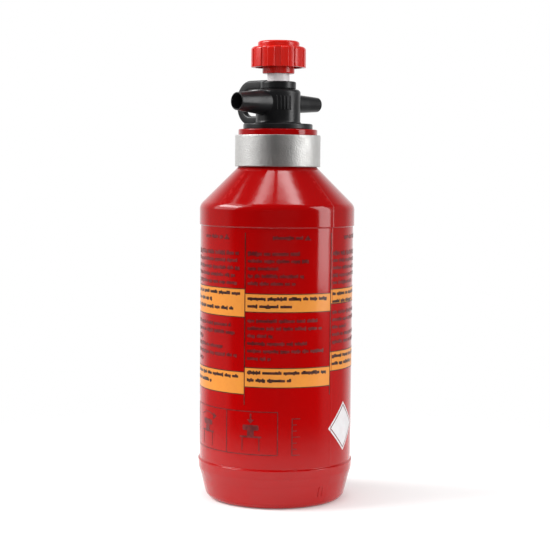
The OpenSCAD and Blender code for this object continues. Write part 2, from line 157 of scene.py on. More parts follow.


# Moulded plastic, metal or rubber: colour with clouds and worn edges (on the cap a painted highlight), varied gloss,
# grain and scuffs in the bump
def makeFinish(name, look):
    material = bpy.data.materials.new(name)
    material.use_nodes = True
    tree = material.node_tree
    shader = tree.nodes["Principled BSDF"]
    grain = useGroup(tree, fineGrain, Grain_size=look["grainSize"], Cloud_size=look["cloudSize"])
    wearAndSheenMask = useGroup(tree, edgeWearAndSheen, Start=look["wearStart"], Full=look["wearFull"], Patch_size=look["patchSize"])["Mask"]
    marks = useGroup(tree, scuffs, Width=look["scuffWidth"], Coverage=look["scuffCover"])["Mask"]
    cloud = ramp(tree, grain["Cloud"], 0.3, 0.7)
    colour = blendColour(tree, cloud, look["colour"], look["cloudColour"])
    if look.get("topShadeColour"):  # painted shade: the colour darkens towards the top, standing in for the weaker light there
        height = put(tree, "ShaderNodeSeparateXYZ", {0: put(tree, "ShaderNodeTexCoord").outputs["Object"]}).outputs[2]
        colour = blendColour(tree, ramp(tree, height, *look["topShadeBetween"]), colour, look["topShadeColour"])
    # Share of the edge colour: real wear, and on the cap a painted highlight
    wearAndSheenShare = calc(tree, "MULTIPLY", wearAndSheenMask, look["wearAndSheen"])
    colour = blendColour(tree, wearAndSheenShare, colour, look["wearAndSheenColour"])
    tree.links.new(colour, shader.inputs["Base Color"])
    gloss = scaled(tree, cloud, look["roughness"][0], look["roughness"][1])
    gloss = calc(tree, "ADD", gloss, calc(tree, "MULTIPLY", marks, look["scuffGloss"]))
    gloss = calc(tree, "ADD", gloss, calc(tree, "MULTIPLY", wearAndSheenShare, look["wornGloss"]), clamp=True)
    tree.links.new(gloss, shader.inputs["Roughness"])
    height = calc(tree, "MULTIPLY", grain["Height"], look["grainHeight"])
    height = calc(tree, "SUBTRACT", height, calc(tree, "MULTIPLY", marks, look["scuffDepth"]))
    if look.get("linePitch"):
        lines = useGroup(tree, turnedLines, Pitch=look["linePitch"])["Height"]
        height = calc(tree, "ADD", height, calc(tree, "MULTIPLY", lines, look["lineHeight"]))
    if look.get("waveSize"):
        wave = useGroup(tree, fineGrain, Grain_size=look["waveSize"], Cloud_size=0.05)["Height"]
        height = calc(tree, "ADD", height, calc(tree, "MULTIPLY", wave, look["waveHeight"]))
    bump = put(tree, "ShaderNodeBump", {"Height": height, "Strength": look["bump"], "Distance": mm})
    tree.links.new(bump.outputs[0], shader.inputs["Normal"])
    shader.inputs["Metallic"].default_value = look.get("metal", 0.0)
    shader.inputs["Specular IOR Level"].default_value = look.get("specular", 0.5)
    return material


plasticLook = {
    "colour": (0.5, 0.5, 0.5), "cloudColour": (0.5, 0.5, 0.5), "cloudSize": 0.012, "wearAndSheenColour": (0.6, 0.6, 0.6),
    "wearAndSheen": 0.35, "wearStart": 0.53, "wearFull": 0.63, "patchSize": 0.0015, "roughness": (0.3, 0.38),
    "scuffWidth": 0.00012, "scuffCover": 0.2, "scuffGloss": 0.12, "wornGloss": 0.1,
    "grainSize": 0.0004, "grainHeight": 0.003, "scuffDepth": 0.0015, "bump": 1.0,
}

knobLook = {  # the knob and its cap; the pale edge colour is light wear on the knob and a painted highlight on the cap's rounded edge
    **plasticLook, "colour": (0.54, 0.0065, 0.0018), "cloudColour": (0.50, 0.0058, 0.0016), "cloudSize": 0.008,
    "wearAndSheenColour": (0.80, 0.13, 0.10), "roughness": (0.22, 0.27), "grainSize": 0.0012,
    "grainHeight": 0.0007, "scuffCover": 0.05, "scuffGloss": 0.03, "scuffDepth": 0.0002, "specular": 0.42,
}

finishes = {
    # The bottle's colour darkens towards the shoulder and neck as painted shade
    "bottleRed": makeFinish("bottleRed", {
        **plasticLook, "colour": (0.385, 0.0010, 0.0012), "cloudColour": (0.345, 0.0009, 0.0011), "cloudSize": 0.03,
        "wearAndSheenColour": (0.55, 0.03, 0.03), "wearAndSheen": 0.3, "roughness": (0.10, 0.13), "grainSize": 0.0012,
        "grainHeight": 0.0026, "waveSize": 0.012, "waveHeight": 0.05, "scuffCover": 0.05, "scuffGloss": 0.03,
        "scuffDepth": 0.0004, "topShadeColour": (0.29, 0.0008, 0.0010), "topShadeBetween": (0.095, 0.135), "specular": 0.38}),
    "knobRed": makeFinish("knobRed", {
        **knobLook, "wearAndSheen": 0.10}),
    # Painted highlight: the whole edge mask turns the cap's rounded edge pale, where the lamps above would shine
    "capRedPaintedHighlight": makeFinish("capRedPaintedHighlight", {
        **knobLook, "wearAndSheen": 1.0}),
    "valveBlack": makeFinish("valveBlack", {
        **plasticLook, "colour": (0.0085, 0.0085, 0.0092), "cloudColour": (0.012, 0.012, 0.013), "cloudSize": 0.006,
        "wearAndSheenColour": (0.05, 0.05, 0.052), "wearAndSheen": 0.4, "roughness": (0.28, 0.37), "grainSize": 0.00035,
        "grainHeight": 0.0035, "specular": 0.38}),
    "ringAluminium": makeFinish("ringAluminium", {
        **plasticLook, "colour": (0.70, 0.695, 0.68), "cloudColour": (0.65, 0.645, 0.63), "cloudSize": 0.004,
        "wearAndSheenColour": (0.86, 0.86, 0.87), "wearAndSheen": 0.6, "roughness": (0.48, 0.56), "grainSize": 0.0007,
        "grainHeight": 0.14, "linePitch": 0.00022, "lineHeight": 0.006, "metal": 1.0}),
    "acetalWhite": makeFinish("acetalWhite", {
        **plasticLook, "colour": (0.78, 0.75, 0.76), "cloudColour": (0.74, 0.70, 0.71), "cloudSize": 0.006,
        "wearAndSheenColour": (0.85, 0.84, 0.84), "roughness": (0.32, 0.42), "grainHeight": 0.006, "linePitch": 0.0003,
        "lineHeight": 0.004}),
    "brightSteel": makeFinish("brightSteel", {
        **plasticLook, "colour": (0.55, 0.55, 0.57), "cloudColour": (0.50, 0.50, 0.52), "cloudSize": 0.003,
        "wearAndSheenColour": (0.7, 0.7, 0.7), "roughness": (0.22, 0.32), "grainHeight": 0.004, "metal": 1.0}),
    "sealRubber": makeFinish("sealRubber", {
        **plasticLook, "colour": (0.020, 0.020, 0.020), "cloudColour": (0.030, 0.030, 0.029), "cloudSize": 0.004,
        "wearAndSheenColour": (0.06, 0.06, 0.06), "roughness": (0.55, 0.68), "grainSize": 0.0003, "grainHeight": 0.015}),
    "printInk": makeFinish("printInk", {
        **plasticLook, "colour": (0.095, 0.004, 0.005), "cloudColour": (0.14, 0.005, 0.006), "cloudSize": 0.003,
        "wearAndSheenColour": (0.3, 0.02, 0.02), "wearAndSheen": 0.3, "roughness": (0.30, 0.40), "grainHeight": 0.002}),
    "printBlack": makeFinish("printBlack", {
        **plasticLook, "colour": (0.022, 0.010, 0.008), "cloudColour": (0.034, 0.013, 0.010), "cloudSize": 0.003,
        "wearAndSheenColour": (0.3, 0.05, 0.02), "wearAndSheen": 0.2, "roughness": (0.30, 0.40), "grainHeight": 0.002}),
    "printOrange": makeFinish("printOrange", {
        **plasticLook, "colour": (0.74, 0.27, 0.036), "cloudColour": (0.72, 0.26, 0.034), "cloudSize": 0.010,
        "wearAndSheenColour": (0.6, 0.12, 0.03), "wearAndSheen": 0.1, "roughness": (0.28, 0.36), "grainHeight": 0.004}),
    "printWhite": makeFinish("printWhite", {
        **plasticLook, "colour": (0.70, 0.69, 0.70), "cloudColour": (0.64, 0.63, 0.64), "cloudSize": 0.006,
        "wearAndSheenColour": (0.7, 0.5, 0.5), "wearAndSheen": 0.1, "roughness": (0.28, 0.36), "grainHeight": 0.004}),
}
print("finishes made:", ", ".join(finishes))


# Making and finishing a piece

def makeMesh(name, points, faces):
    mesh = bpy.data.meshes.new(name)
    mesh.from_pydata(points, [], faces)
    mesh.update()
    piece = bpy.data.objects.new(name, mesh)
    scene.collection.objects.link(piece)
    return piece


# Runs a Geometry Nodes tree on a piece and keeps the plain mesh that comes out
def shapeWith(piece, tree, **values):
    modifier = piece.modifiers.new(tree.name, "NODES")
    modifier.node_group = tree
    for item in tree.interface.items_tree:
        label = item.name.replace(" ", "_")
        if item.in_out == "INPUT" and label in values:
            modifier[item.identifier] = values[label]
    graph = bpy.context.evaluated_depsgraph_get()
    graph.update()
    made = bpy.data.meshes.new_from_object(piece.evaluated_get(graph), preserve_all_data_layers=True, depsgraph=graph)
    piece.modifiers.clear()
    piece.data = made
    return piece


# Cuts the tool shapes out of a piece, and removes them
def carve(piece, tools):
    for tool in tools:
        cut = piece.modifiers.new("carve", "BOOLEAN")
        cut.operation, cut.solver, cut.object = "DIFFERENCE", "EXACT", tool
    graph = bpy.context.evaluated_depsgraph_get()
    graph.update()
    made = bpy.data.meshes.new_from_object(piece.evaluated_get(graph), preserve_all_data_layers=True, depsgraph=graph)
    piece.modifiers.clear()
    piece.data = made
    for tool in tools:
        bpy.data.objects.remove(tool)
    return piece


def finishPiece(piece, body, finish, replaced=(), sharpFrom=38):
    piece.data.materials.clear()
    piece.data.materials.append(finishes[finish])
    piece.data.shade_smooth()
    piece.data.set_sharp_from_angle(angle=radians(sharpFrom))
    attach(piece, body)
    if replaced:
        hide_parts(*replaced)
    return piece


# Outline in millimetres from (r, z, corner radius); a short flat on each side of an arc keeps the shading clean
def softOutline(corners, arcSteps=6):
    points = []
    for i, (r, z, radius) in enumerate(corners):
        here = Vector((r, z))
        back = Vector(corners[i - 1][:2]) - here
        ahead = Vector(corners[(i + 1) % len(corners)][:2]) - here
        corner = back.angle(ahead) if radius else pi
        if abs(corner - pi) < 0.01:
            points.append((r, z))
            continue
        shortest = min(back.length, ahead.length)
        reach = min(radius / tan(corner / 2), 0.46 * shortest)
        flat = min(0.15, 0.4 * (0.5 * shortest - reach))
        back.normalize()
        ahead.normalize()
        centre = here + (back + ahead).normalized() * (reach / cos(corner / 2))
        arm = here + back * reach - centre
        last = here + ahead * reach - centre
        start = atan2(arm.y, arm.x)
        sweep = (atan2(last.y, last.x) - start + pi) % (2 * pi) - pi
        points.append(tuple(here + back * (reach + flat)))
        for k in range(arcSteps + 1):
            angle = start + sweep * k / arcSteps
            points.append((centre.x + arm.length * cos(angle), centre.y + arm.length * sin(angle)))
        points.append(tuple(here + ahead * (reach + flat)))
    return points


def evenStops(count):
    return [2 * pi * i / count for i in range(count)]


# Turns an outline round the Z axis; the outline is a closed loop, or runs from the axis to the axis
def turnOutline(name, outline, stops, loop=True):
    area = sum(a[0] * b[1] - b[0] * a[1] for a, b in zip(outline, outline[1:] + outline[:1]))
    if area < 0:
        outline = outline[::-1]
    points, rings = [], []
    for r, z in outline:
        count = 1 if r < 1e-6 else len(stops)
        rings.append([len(points) + i for i in range(count)])
        points += [(r * cos(a) * mm, r * sin(a) * mm, z * mm) for a in stops[:count]]
    faces = []
    for low, high in zip(rings, rings[1:] + rings[:1] if loop else rings[1:]):
        for i in range(len(stops)):
            k = (i + 1) % len(stops)
            if len(low) > 1 and len(high) > 1:
                faces.append((low[i], low[k], high[k], high[i]))
            elif len(low) > 1:
                faces.append((low[i], low[k], high[0]))
            elif len(high) > 1:
                faces.append((low[0], high[k], high[i]))
    return makeMesh(name, points, faces)


# Geometry Nodes trees

def polar(tree):  # position, height, distance from the axis and angle round it
    position = put(tree, "GeometryNodeInputPosition").outputs[0]
    parts = put(tree, "ShaderNodeSeparateXYZ", {0: position}).outputs
    reach = calc(tree, "SQRT", calc(tree, "ADD", calc(tree, "POWER", parts[0], 2.0), calc(tree, "POWER", parts[1], 2.0)))
    return position, parts, reach, calc(tree, "ARCTAN2", parts[1], parts[0])


def setReach(tree, geometry, parts, reach, newReach):  # moves points in or out, and keeps their height
    share = calc(tree, "DIVIDE", newReach, calc(tree, "MAXIMUM", reach, 1e-6))
    moved = put(tree, "ShaderNodeCombineXYZ", {
        0: calc(tree, "MULTIPLY", parts[0], share), 1: calc(tree, "MULTIPLY", parts[1], share), 2: parts[2]})
    return put(tree, "GeometryNodeSetPosition", {"Geometry": geometry, "Position": moved.outputs[0]}).outputs[0]


def closeTree(tree, geometry, material, out):
    real = put(tree, "GeometryNodeRealizeInstances", {0: geometry}).outputs[0]
    done = put(tree, "GeometryNodeSetMaterial", {"Geometry": real, "Material": material})
    tree.links.new(done.outputs[0], out["Geometry"])
    return tree


def makeGrooveTree():  # upright grooves cut down to a floor radius, as wide as the ribs between them
    tree, given, out = openGroup("gripGrooves", "GeometryNodeTree", {
        "Geometry": ("Geometry", None), "Grooves": ("Int", 12), "Floor radius": ("Float", 0.01),
        "First edge": ("Float", 0.0), "Edge width": ("Float", 0.02), "Material": ("Material", None)},
        {"Geometry": "Geometry"})
    position, parts, reach, angle = polar(tree)
    pitch = calc(tree, "DIVIDE", 2 * pi, given["Grooves"])
    phase = calc(tree, "FRACT", calc(tree, "DIVIDE", calc(tree, "SUBTRACT", angle, given["First edge"]), pitch))
    half = calc(tree, "DIVIDE", given["Edge width"], calc(tree, "MULTIPLY", pitch, 2.0))
    fromMiddle = calc(tree, "ABSOLUTE", calc(tree, "SUBTRACT", phase, 0.25))
    fromMiddle = calc(tree, "MINIMUM", fromMiddle, calc(tree, "ABSOLUTE", calc(tree, "SUBTRACT", phase, 1.25)))
    inside = calc(tree, "SUBTRACT", 1.0, ramp(
        tree, fromMiddle, calc(tree, "SUBTRACT", 0.25, half), calc(tree, "ADD", 0.25, half)))
    drop = calc(tree, "MAXIMUM", calc(tree, "SUBTRACT", reach, given["Floor radius"]), 0.0)
    newReach = calc(tree, "SUBTRACT", reach, calc(tree, "MULTIPLY", drop, inside))
    return closeTree(tree, setReach(tree, given["Geometry"], parts, reach, newReach), given["Material"], out)


def makeThreadTree():  # a screw ridge raised on a round wall
    tree, given, out = openGroup("screwRidge", "GeometryNodeTree", {
        "Geometry": ("Geometry", None), "Pitch": ("Float", 0.004), "Wall radius": ("Float", 0.01),
        "Rise": ("Float", 0.001), "Low": ("Float", 0.0), "High": ("Float", 0.01), "Start": ("Float", 0.0),
        "Foot": ("Float", 0.0012), "Crest": ("Float", 0.0006), "Material": ("Material", None)},
        {"Geometry": "Geometry"})
    position, parts, reach, angle = polar(tree)
    around = calc(tree, "DIVIDE", calc(tree, "SUBTRACT", angle, given["Start"]), 2 * pi)
    along = calc(tree, "SUBTRACT", calc(tree, "DIVIDE", parts[2], given["Pitch"]), around)
    fromRidge = calc(tree, "ABSOLUTE", calc(tree, "SUBTRACT", calc(tree, "FRACT", calc(tree, "ADD", along, 0.5)), 0.5))
    fromRidge = calc(tree, "MULTIPLY", fromRidge, given["Pitch"])
    ridge = calc(tree, "SUBTRACT", 1.0, ramp(tree, fromRidge, given["Crest"], given["Foot"], "LINEAR"))
    fadeIn = ramp(tree, parts[2], given["Low"], calc(tree, "ADD", given["Low"], 0.0015))
    fadeOut = ramp(tree, parts[2], given["High"], calc(tree, "SUBTRACT", given["High"], 0.0015))
    onWall = calc(tree, "COMPARE", reach, given["Wall radius"], 0.00002)
    lift = given["Rise"]
    for factor in (ridge, fadeIn, fadeOut, onWall):
        lift = calc(tree, "MULTIPLY", lift, factor)
    newReach = calc(tree, "ADD", reach, lift)
    return closeTree(tree, setReach(tree, given["Geometry"], parts, reach, newReach), given["Material"], out)


def makeWrapTree():  # bends flat print round the panel: X is length round it, Y is thickness, Z is height
    tree, given, out = openGroup("wrapPrint", "GeometryNodeTree", {
        "Geometry": ("Geometry", None), "Radius": ("Float", 0.03), "Waist": ("Float", 0.0), "Middle": ("Float", 0.06),
        "Half height": ("Float", 0.05), "Material": ("Material", None)}, {"Geometry": "Geometry"})
    position = put(tree, "GeometryNodeInputPosition").outputs[0]
    parts = put(tree, "ShaderNodeSeparateXYZ", {0: position}).outputs
    angle = calc(tree, "DIVIDE", parts[0], given["Radius"])
    bow = calc(tree, "POWER", calc(tree, "DIVIDE", calc(tree, "SUBTRACT", parts[2], given["Middle"]), given["Half height"]), 2.0)
    waist = calc(tree, "MULTIPLY", given["Waist"], calc(tree, "SUBTRACT", 1.0, bow))
    reach = calc(tree, "ADD", calc(tree, "SUBTRACT", given["Radius"], waist), parts[1])
    bent = put(tree, "ShaderNodeCombineXYZ", {
        0: calc(tree, "MULTIPLY", reach, calc(tree, "COSINE", angle)),
        1: calc(tree, "MULTIPLY", reach, calc(tree, "SINE", angle)), 2: parts[2]})
    moved = put(tree, "GeometryNodeSetPosition", {"Geometry": given["Geometry"], "Position": bent.outputs[0]})
    return closeTree(tree, moved.outputs[0], given["Material"], out)


def makeRoundTree():  # copies of one shape round the axis
    tree, given, out = openGroup("repeatRound", "GeometryNodeTree", {
        "Geometry": ("Geometry", None), "Count": ("Int", 5), "First angle": ("Float", 0.0), "Step": ("Float", 0.1),
        "Material": ("Material", None)}, {"Geometry": "Geometry"})
    spots = put(tree, "GeometryNodePoints", {"Count": given["Count"]}).outputs[0]
    index = put(tree, "GeometryNodeInputIndex").outputs[0]
    turn = calc(tree, "ADD", given["First angle"], calc(tree, "MULTIPLY", index, given["Step"]))
    rotation = put(tree, "ShaderNodeCombineXYZ", {2: turn}).outputs[0]
    copies = put(tree, "GeometryNodeInstanceOnPoints", {
        "Points": spots, "Instance": given["Geometry"], "Rotation": rotation})
    return closeTree(tree, copies.outputs[0], given["Material"], out)


def makeBarTree():  # a bar of rounded section along a path of straight edges, with rounded bends
    tree, given, out = openGroup("bentBar", "GeometryNodeTree", {
        "Geometry": ("Geometry", None), "Thickness": ("Float", 0.002), "Width": ("Float", 0.002),
        "Edge radius": ("Float", 0.0005), "Bend radius": ("Float", 0.005),
        "Material": ("Material", None)}, {"Geometry": "Geometry"})
    path = put(tree, "GeometryNodeMeshToCurve", {0: given["Geometry"]}).outputs[0]
    bent = put(tree, "GeometryNodeFilletCurve", {"Curve": path, "Radius": given["Bend radius"], "Count": 14}, mode="POLY")
    section = put(tree, "GeometryNodeCurvePrimitiveQuadrilateral", {
        "Width": given["Thickness"], "Height": given["Width"]}, mode="RECTANGLE").outputs[0]
    section = put(tree, "GeometryNodeFilletCurve", {
        "Curve": section, "Radius": given["Edge radius"], "Count": 7}, mode="POLY").outputs[0]
    bar = put(tree, "GeometryNodeCurveToMesh", {"Curve": bent.outputs[0], "Profile Curve": section, "Fill Caps": True})
    return closeTree(tree, bar.outputs[0], given["Material"], out)


def makeCoilTree():  # a wire coil with one close turn at each end
    tree, given, out = openGroup("wireCoil", "GeometryNodeTree", {
        "Geometry": ("Geometry", None), "Turns": ("Float", 7.0), "Coil radius": ("Float", 0.003),
        "Wire radius": ("Float", 0.0004), "Low": ("Float", 0.0), "High": ("Float", 0.01),
        "Close pitch": ("Float", 0.001), "Material": ("Material", None)}, {"Geometry": "Geometry"})
    line = put(tree, "GeometryNodeMeshToCurve", {0: given["Geometry"]}).outputs[0]
    along = put(tree, "GeometryNodeResampleCurve", {"Curve": line, "Count": 260}).outputs[0]
    t = put(tree, "GeometryNodeSplineParameter").outputs["Factor"]
    dead = calc(tree, "DIVIDE", 1.0, given["Turns"])
    openShare = calc(tree, "SUBTRACT", 1.0, calc(tree, "MULTIPLY", dead, 2.0))
    rise = calc(tree, "SUBTRACT", calc(tree, "SUBTRACT", given["High"], given["Low"]),
                calc(tree, "MULTIPLY", given["Wire radius"], 2.0))
    lower = calc(tree, "DIVIDE", t, dead, clamp=True)
    middle = calc(tree, "DIVIDE", calc(tree, "SUBTRACT", t, dead), openShare, clamp=True)
    upper = calc(tree, "DIVIDE", calc(tree, "SUBTRACT", t, calc(tree, "SUBTRACT", 1.0, dead)), dead, clamp=True)
    climb = calc(tree, "MULTIPLY", given["Close pitch"], calc(tree, "ADD", lower, upper))
    openRise = calc(tree, "SUBTRACT", rise, calc(tree, "MULTIPLY", given["Close pitch"], 2.0))
    climb = calc(tree, "ADD", climb, calc(tree, "MULTIPLY", openRise, middle))
    height = calc(tree, "ADD", calc(tree, "ADD", given["Low"], given["Wire radius"]), climb)
    angle = calc(tree, "MULTIPLY", calc(tree, "MULTIPLY", t, given["Turns"]), 2 * pi)
    point = put(tree, "ShaderNodeCombineXYZ", {
        0: calc(tree, "MULTIPLY", given["Coil radius"], calc(tree, "COSINE", angle)),
        1: calc(tree, "MULTIPLY", given["Coil radius"], calc(tree, "SINE", angle)), 2: height})
    coil = put(tree, "GeometryNodeSetPosition", {"Geometry": along, "Position": point.outputs[0]}).outputs[0]
    section = put(tree, "GeometryNodeCurvePrimitiveCircle", {"Resolution": 12, "Radius": given["Wire radius"]}).outputs[0]
    wire = put(tree, "GeometryNodeCurveToMesh", {"Curve": coil, "Profile Curve": section, "Fill Caps": True})
    return closeTree(tree, wire.outputs[0], given["Material"], out)


gripGrooves, screwRidge, wrapPrint = makeGrooveTree(), makeThreadTree(), makeWrapTree()
repeatRound, bentBar, wireCoil = makeRoundTree(), makeBarTree(), makeCoilTree()
print("node trees made")

# Bottle

bottle = {
    "panelRadius": 31.75, "panelWaist": 0.08, "panelLow": 17.4, "panelHigh": 113.3, "wall": 1.5,
    "neckRadius": 16.25, "neckLow": 138.2, "lip": 153.7, "lipRadius": 16.4, "bore": 12.3,
    "threadPitch": 4.0, "threadDepth": 1.05, "threadLow": 140.6, "threadHigh": 152.6,
    "seamAngle": 91.3, "seamHeight": 0.07, "seamWidth": 0.45, "seamLow": 2.0,
}
panelMiddle = (bottle["panelLow"] + bottle["panelHigh"]) / 2
panelHalf = (bottle["panelHigh"] - bottle["panelLow"]) / 2


def makeBottle(size):
    r, w = size["panelRadius"], size["wall"]
    low, high, lip = size["panelLow"], size["panelHigh"], size["lip"]
    rim = r + 0.45
    panel = []
    for i in range(1, 24):  # the print panel draws in very slightly at its middle
        share = i / 24
        panel.append((r - size["panelWaist"] * (1 - (2 * share - 1) ** 2), low + (high - low) * share, 0))
    outside = [
        (0, 2.6, 0), (14, 2.4, 4), (21.3, 1.9, 1.5), (23.2, 0, 0.7), (28.6, 0, 4.4), (r - 0.8, 9.4, 8), (r + 0.35, 12.9, 5),
        (r + 0.62, 16.4, 0.35), (r, 16.75, 0.3), *panel, (r, 113.9, 0.25), (rim, 114.3, 0.3),
        (rim, size["neckLow"] - rim + size["neckRadius"], 4),
        (size["neckRadius"], size["neckLow"], 0.8), (size["neckRadius"], lip - 2.4, 0.1),
        (size["lipRadius"], lip - 2.35, 0.1), (size["lipRadius"], lip, 0.45),
    ]
    thread = [(size["bore"], lip - 1.2 - 0.3 * i, 0) for i in range(44)]
    inside = [
        (size["bore"] + 0.35, lip, 0.2), (size["bore"], lip - 0.8, 0.2), *thread, (size["bore"], 140.0, 1.2),
        (rim - w, 121.65, 2.5), (rim - w, 114.6, 0.3), (r - w, 113.9, 0.3), (r - w, 17.2, 0.3), (r - 0.8, 16.2, 0.5),
        (r - 2.3, 9.4, 4), (27.9, 1.5, 3), (23.5, 1.5, 0.8), (21.4, 3.6, 0.9), (0, 4.1, 0),
    ]
    seams = [radians(size["seamAngle"]) + turn for turn in (0, pi)]
    near = [radians(size["seamWidth"] * k / 4) for k in (-4, -3, -2, -1, 0, 1, 2, 3, 4)]
    stops = sorted({round(a, 6) for a in evenStops(160) + [seam + n for seam in seams for n in near]})
    outline = softOutline(outside + inside, 7)
    piece = turnOutline("bottleBody", outline, stops, loop=False)
    # A mould parting line stands up on the outside, over the base, the body and the shoulder
    rise, width = size["seamHeight"] * mm, radians(size["seamWidth"])
    for vertex, normal in [(v, v.normal.copy()) for v in piece.data.vertices]:
        outward = normal.x * vertex.co.x + normal.y * vertex.co.y > 0
        if not outward or not size["seamLow"] * mm < vertex.co.z < (size["neckLow"] - 1) * mm:
            continue
        angle = atan2(vertex.co.y, vertex.co.x) - seams[0]
        away = abs((angle + pi / 2) % pi - pi / 2)
        if away < width:
            vertex.co += normal * rise * (0.5 + 0.5 * cos(pi * away / width))
    shapeWith(piece, screwRidge, Pitch=size["threadPitch"] * mm, Wall_radius=size["bore"] * mm,
              Rise=-size["threadDepth"] * mm, Low=size["threadLow"] * mm, High=size["threadHigh"] * mm,
              Start=pi + 2 * pi * (141.5 / size["threadPitch"] % 1))
    return finishPiece(piece, "bottle", "bottleRed", ["bottle_shell"], 50)


# A small raised mark from the mould, low on the base where the wall leans in
baseMark = {"angle": 84.0, "width": 2.0, "low": 4.6, "high": 8.6, "line": 0.34, "foot": 28.75, "taper": (9.4, -0.8)}


def makeBaseMark(size):
    half = size["width"] / 2
    path = []
    for x, z in ((-half, size["low"]), (-half, size["high"]), (half, size["high"]), (half, size["low"])):
        top = bottle["panelRadius"] + size["taper"][1]
        reach = size["foot"] + (top - size["foot"]) * z / size["taper"][0] + 0.02
        angle = radians(size["angle"]) + x / reach
        path.append((reach * cos(angle) * mm, reach * sin(angle) * mm, z * mm))
    mesh = bpy.data.meshes.new("baseMark")
    mesh.from_pydata(path, [(0, 1), (1, 2), (2, 3)], [])
    piece = bpy.data.objects.new("baseMark", mesh)
    scene.collection.objects.link(piece)
    shapeWith(piece, bentBar, Thickness=size["line"] * mm, Width=size["line"] * mm, Edge_radius=0.45 * size["line"] * mm,
              Bend_radius=0.5 * mm)
    return finishPiece(piece, "bottle", "bottleRed")


makeBottle(bottle)
makeBaseMark(baseMark)
print("bottle made")

# Neck ring

ring = {"inner": 16.3, "outer": 17.75, "low": 138.25, "high": 151.3, "edge": 0.35}


def makeRing(size):
    inner, outer, low, high, edge = (size[k] for k in ("inner", "outer", "low", "high", "edge"))
    corners = [(inner, low, 0.15), (outer, low, edge), (outer, high, edge), (inner, high, 0.15)]
    piece = turnOutline("neckRing", softOutline(corners), evenStops(160))
    return finishPiece(piece, "bottle", "ringAluminium", ["neck_ring"])


makeRing(ring)
print("neck ring made")

# Valve housing

valve = {
    "plugLow": 139.0, "core": 10.8, "threadDepth": 1.2, "threadLow": 140.4, "threadHigh": 152.8,
    "flange": 14.4, "flangeLow": 153.8, "flangeHigh": 156.0, "barrel": 9.25, "barrelHigh": 170.2, "shoulder": 2.0,
    "chamber": 5.8, "guide": 4.7, "tubeHeight": 164.6, "spoutBore": 3.2, "airBore": 1.9, "ductX": 7.3, "ductRadius": 1.0,
    "seatPocket": 9.6, "seatHigh": 142.0,
}
gripRibs = {"count": 5, "first": 43, "step": 9, "width": 0.7, "stand": 0.28, "low": 161.6, "high": 167.4}


def makeHousing(size):
    core, lip = size["core"], bottle["lip"]
    thread = [(core, size["threadLow"] - 0.4 + 0.3 * i, 0) for i in range(44)]
    corners = [
        (size["seatPocket"], size["plugLow"], 0.1), (core, size["plugLow"], 0.5), *thread, (core, lip + 0.9, 0.2),
        (13.65, lip + 0.9, 0.1), (13.65, size["flangeLow"], 0.1), (size["flange"], size["flangeLow"], 0.25),
        (size["flange"], size["flangeHigh"], 0.55), (size["barrel"], size["flangeHigh"], 1.2),
        (size["barrel"], size["barrelHigh"], size["shoulder"]), (5.9, size["barrelHigh"], 0.1), (5.9, 173.1, 0.1),
        (size["guide"], 173.1, 0.1), (size["guide"], 168.8, 0.2), (size["chamber"], 168.8, 0.2),
        (size["chamber"], size["seatHigh"], 0.1), (size["seatPocket"], size["seatHigh"], 0.1),
    ]
    piece = turnOutline("valveHousing", softOutline(corners, 7), evenStops(144))
    shapeWith(piece, screwRidge, Pitch=bottle["threadPitch"] * mm, Wall_radius=core * mm,
              Rise=size["threadDepth"] * mm, Low=size["threadLow"] * mm, High=size["threadHigh"] * mm,
              Start=2 * pi * (141.5 / bottle["threadPitch"] % 1))
    tools = []
    for name, radius, start, reach in (("spoutHole", size["spoutBore"], 3.0, 12), ("airHole", size["airBore"], -size["ductX"], -12)):
        tool = turnOutline(name, [(0, 0), (radius, 0), (radius, abs(reach - start)), (0, abs(reach - start))], evenStops(48), loop=False)
        heading = pi / 2 if reach > 0 else -pi / 2
        tool.data.transform(Matrix.Translation((start * mm, 0, size["tubeHeight"] * mm)) @ Matrix.Rotation(heading, 4, "Y"))
        tools.append(tool)
    duct = turnOutline("airDuct", [(0, 140), (size["ductRadius"], 140), (size["ductRadius"], size["tubeHeight"]), (0, size["tubeHeight"])], evenStops(32), loop=False)
    duct.data.transform(Matrix.Translation((-size["ductX"] * mm, 0, 0)))
    carve(piece, tools + [duct])
    return finishPiece(piece, "valve", "valveBlack", ["valve_housing"])


# One rounded upright rib at angle 0, from rings of a rounded section that shrink at both ends
def makeRib(name, centreX, width, depth, low, high, rounding):
    rings = []
    for k in range(5):
        share = k / 4
        rings.append((low + rounding * (1 - cos(share * pi / 2)), sin(share * pi / 2)))
    rings = [(z, 1 - 0.6 * (1 - s)) for z, s in rings]
    rings += [(low + high - z, s) for z, s in reversed(rings)]
    sides = 16
    points, faces = [], []
    for z, s in rings:
        for k in range(sides):
            a = 2 * pi * k / sides
            x = centreX + depth * s * (abs(cos(a)) ** 0.6) * (1 if cos(a) > 0 else -1)
            y = width / 2 * s * (abs(sin(a)) ** 0.6) * (1 if sin(a) > 0 else -1)
            points.append((x * mm, y * mm, z * mm))
    for j in range(len(rings) - 1):
        for k in range(sides):
            n = (k + 1) % sides
            faces.append((j * sides + k, j * sides + n, (j + 1) * sides + n, (j + 1) * sides + k))
    faces.append(tuple(reversed(range(sides))))
    faces.append(tuple(range((len(rings) - 1) * sides, len(rings) * sides)))
    return makeMesh(name, points, faces)


makeHousing(valve)
rib = makeRib("barrelRibs", valve["barrel"] - 0.1, gripRibs["width"], gripRibs["stand"] + 0.1, gripRibs["low"], gripRibs["high"], 0.35)
shapeWith(rib, repeatRound, Count=gripRibs["count"], First_angle=radians(gripRibs["first"]), Step=radians(gripRibs["step"]))
finishPiece(rib, "valve", "valveBlack")
print("valve housing made")

# Spout and air tube

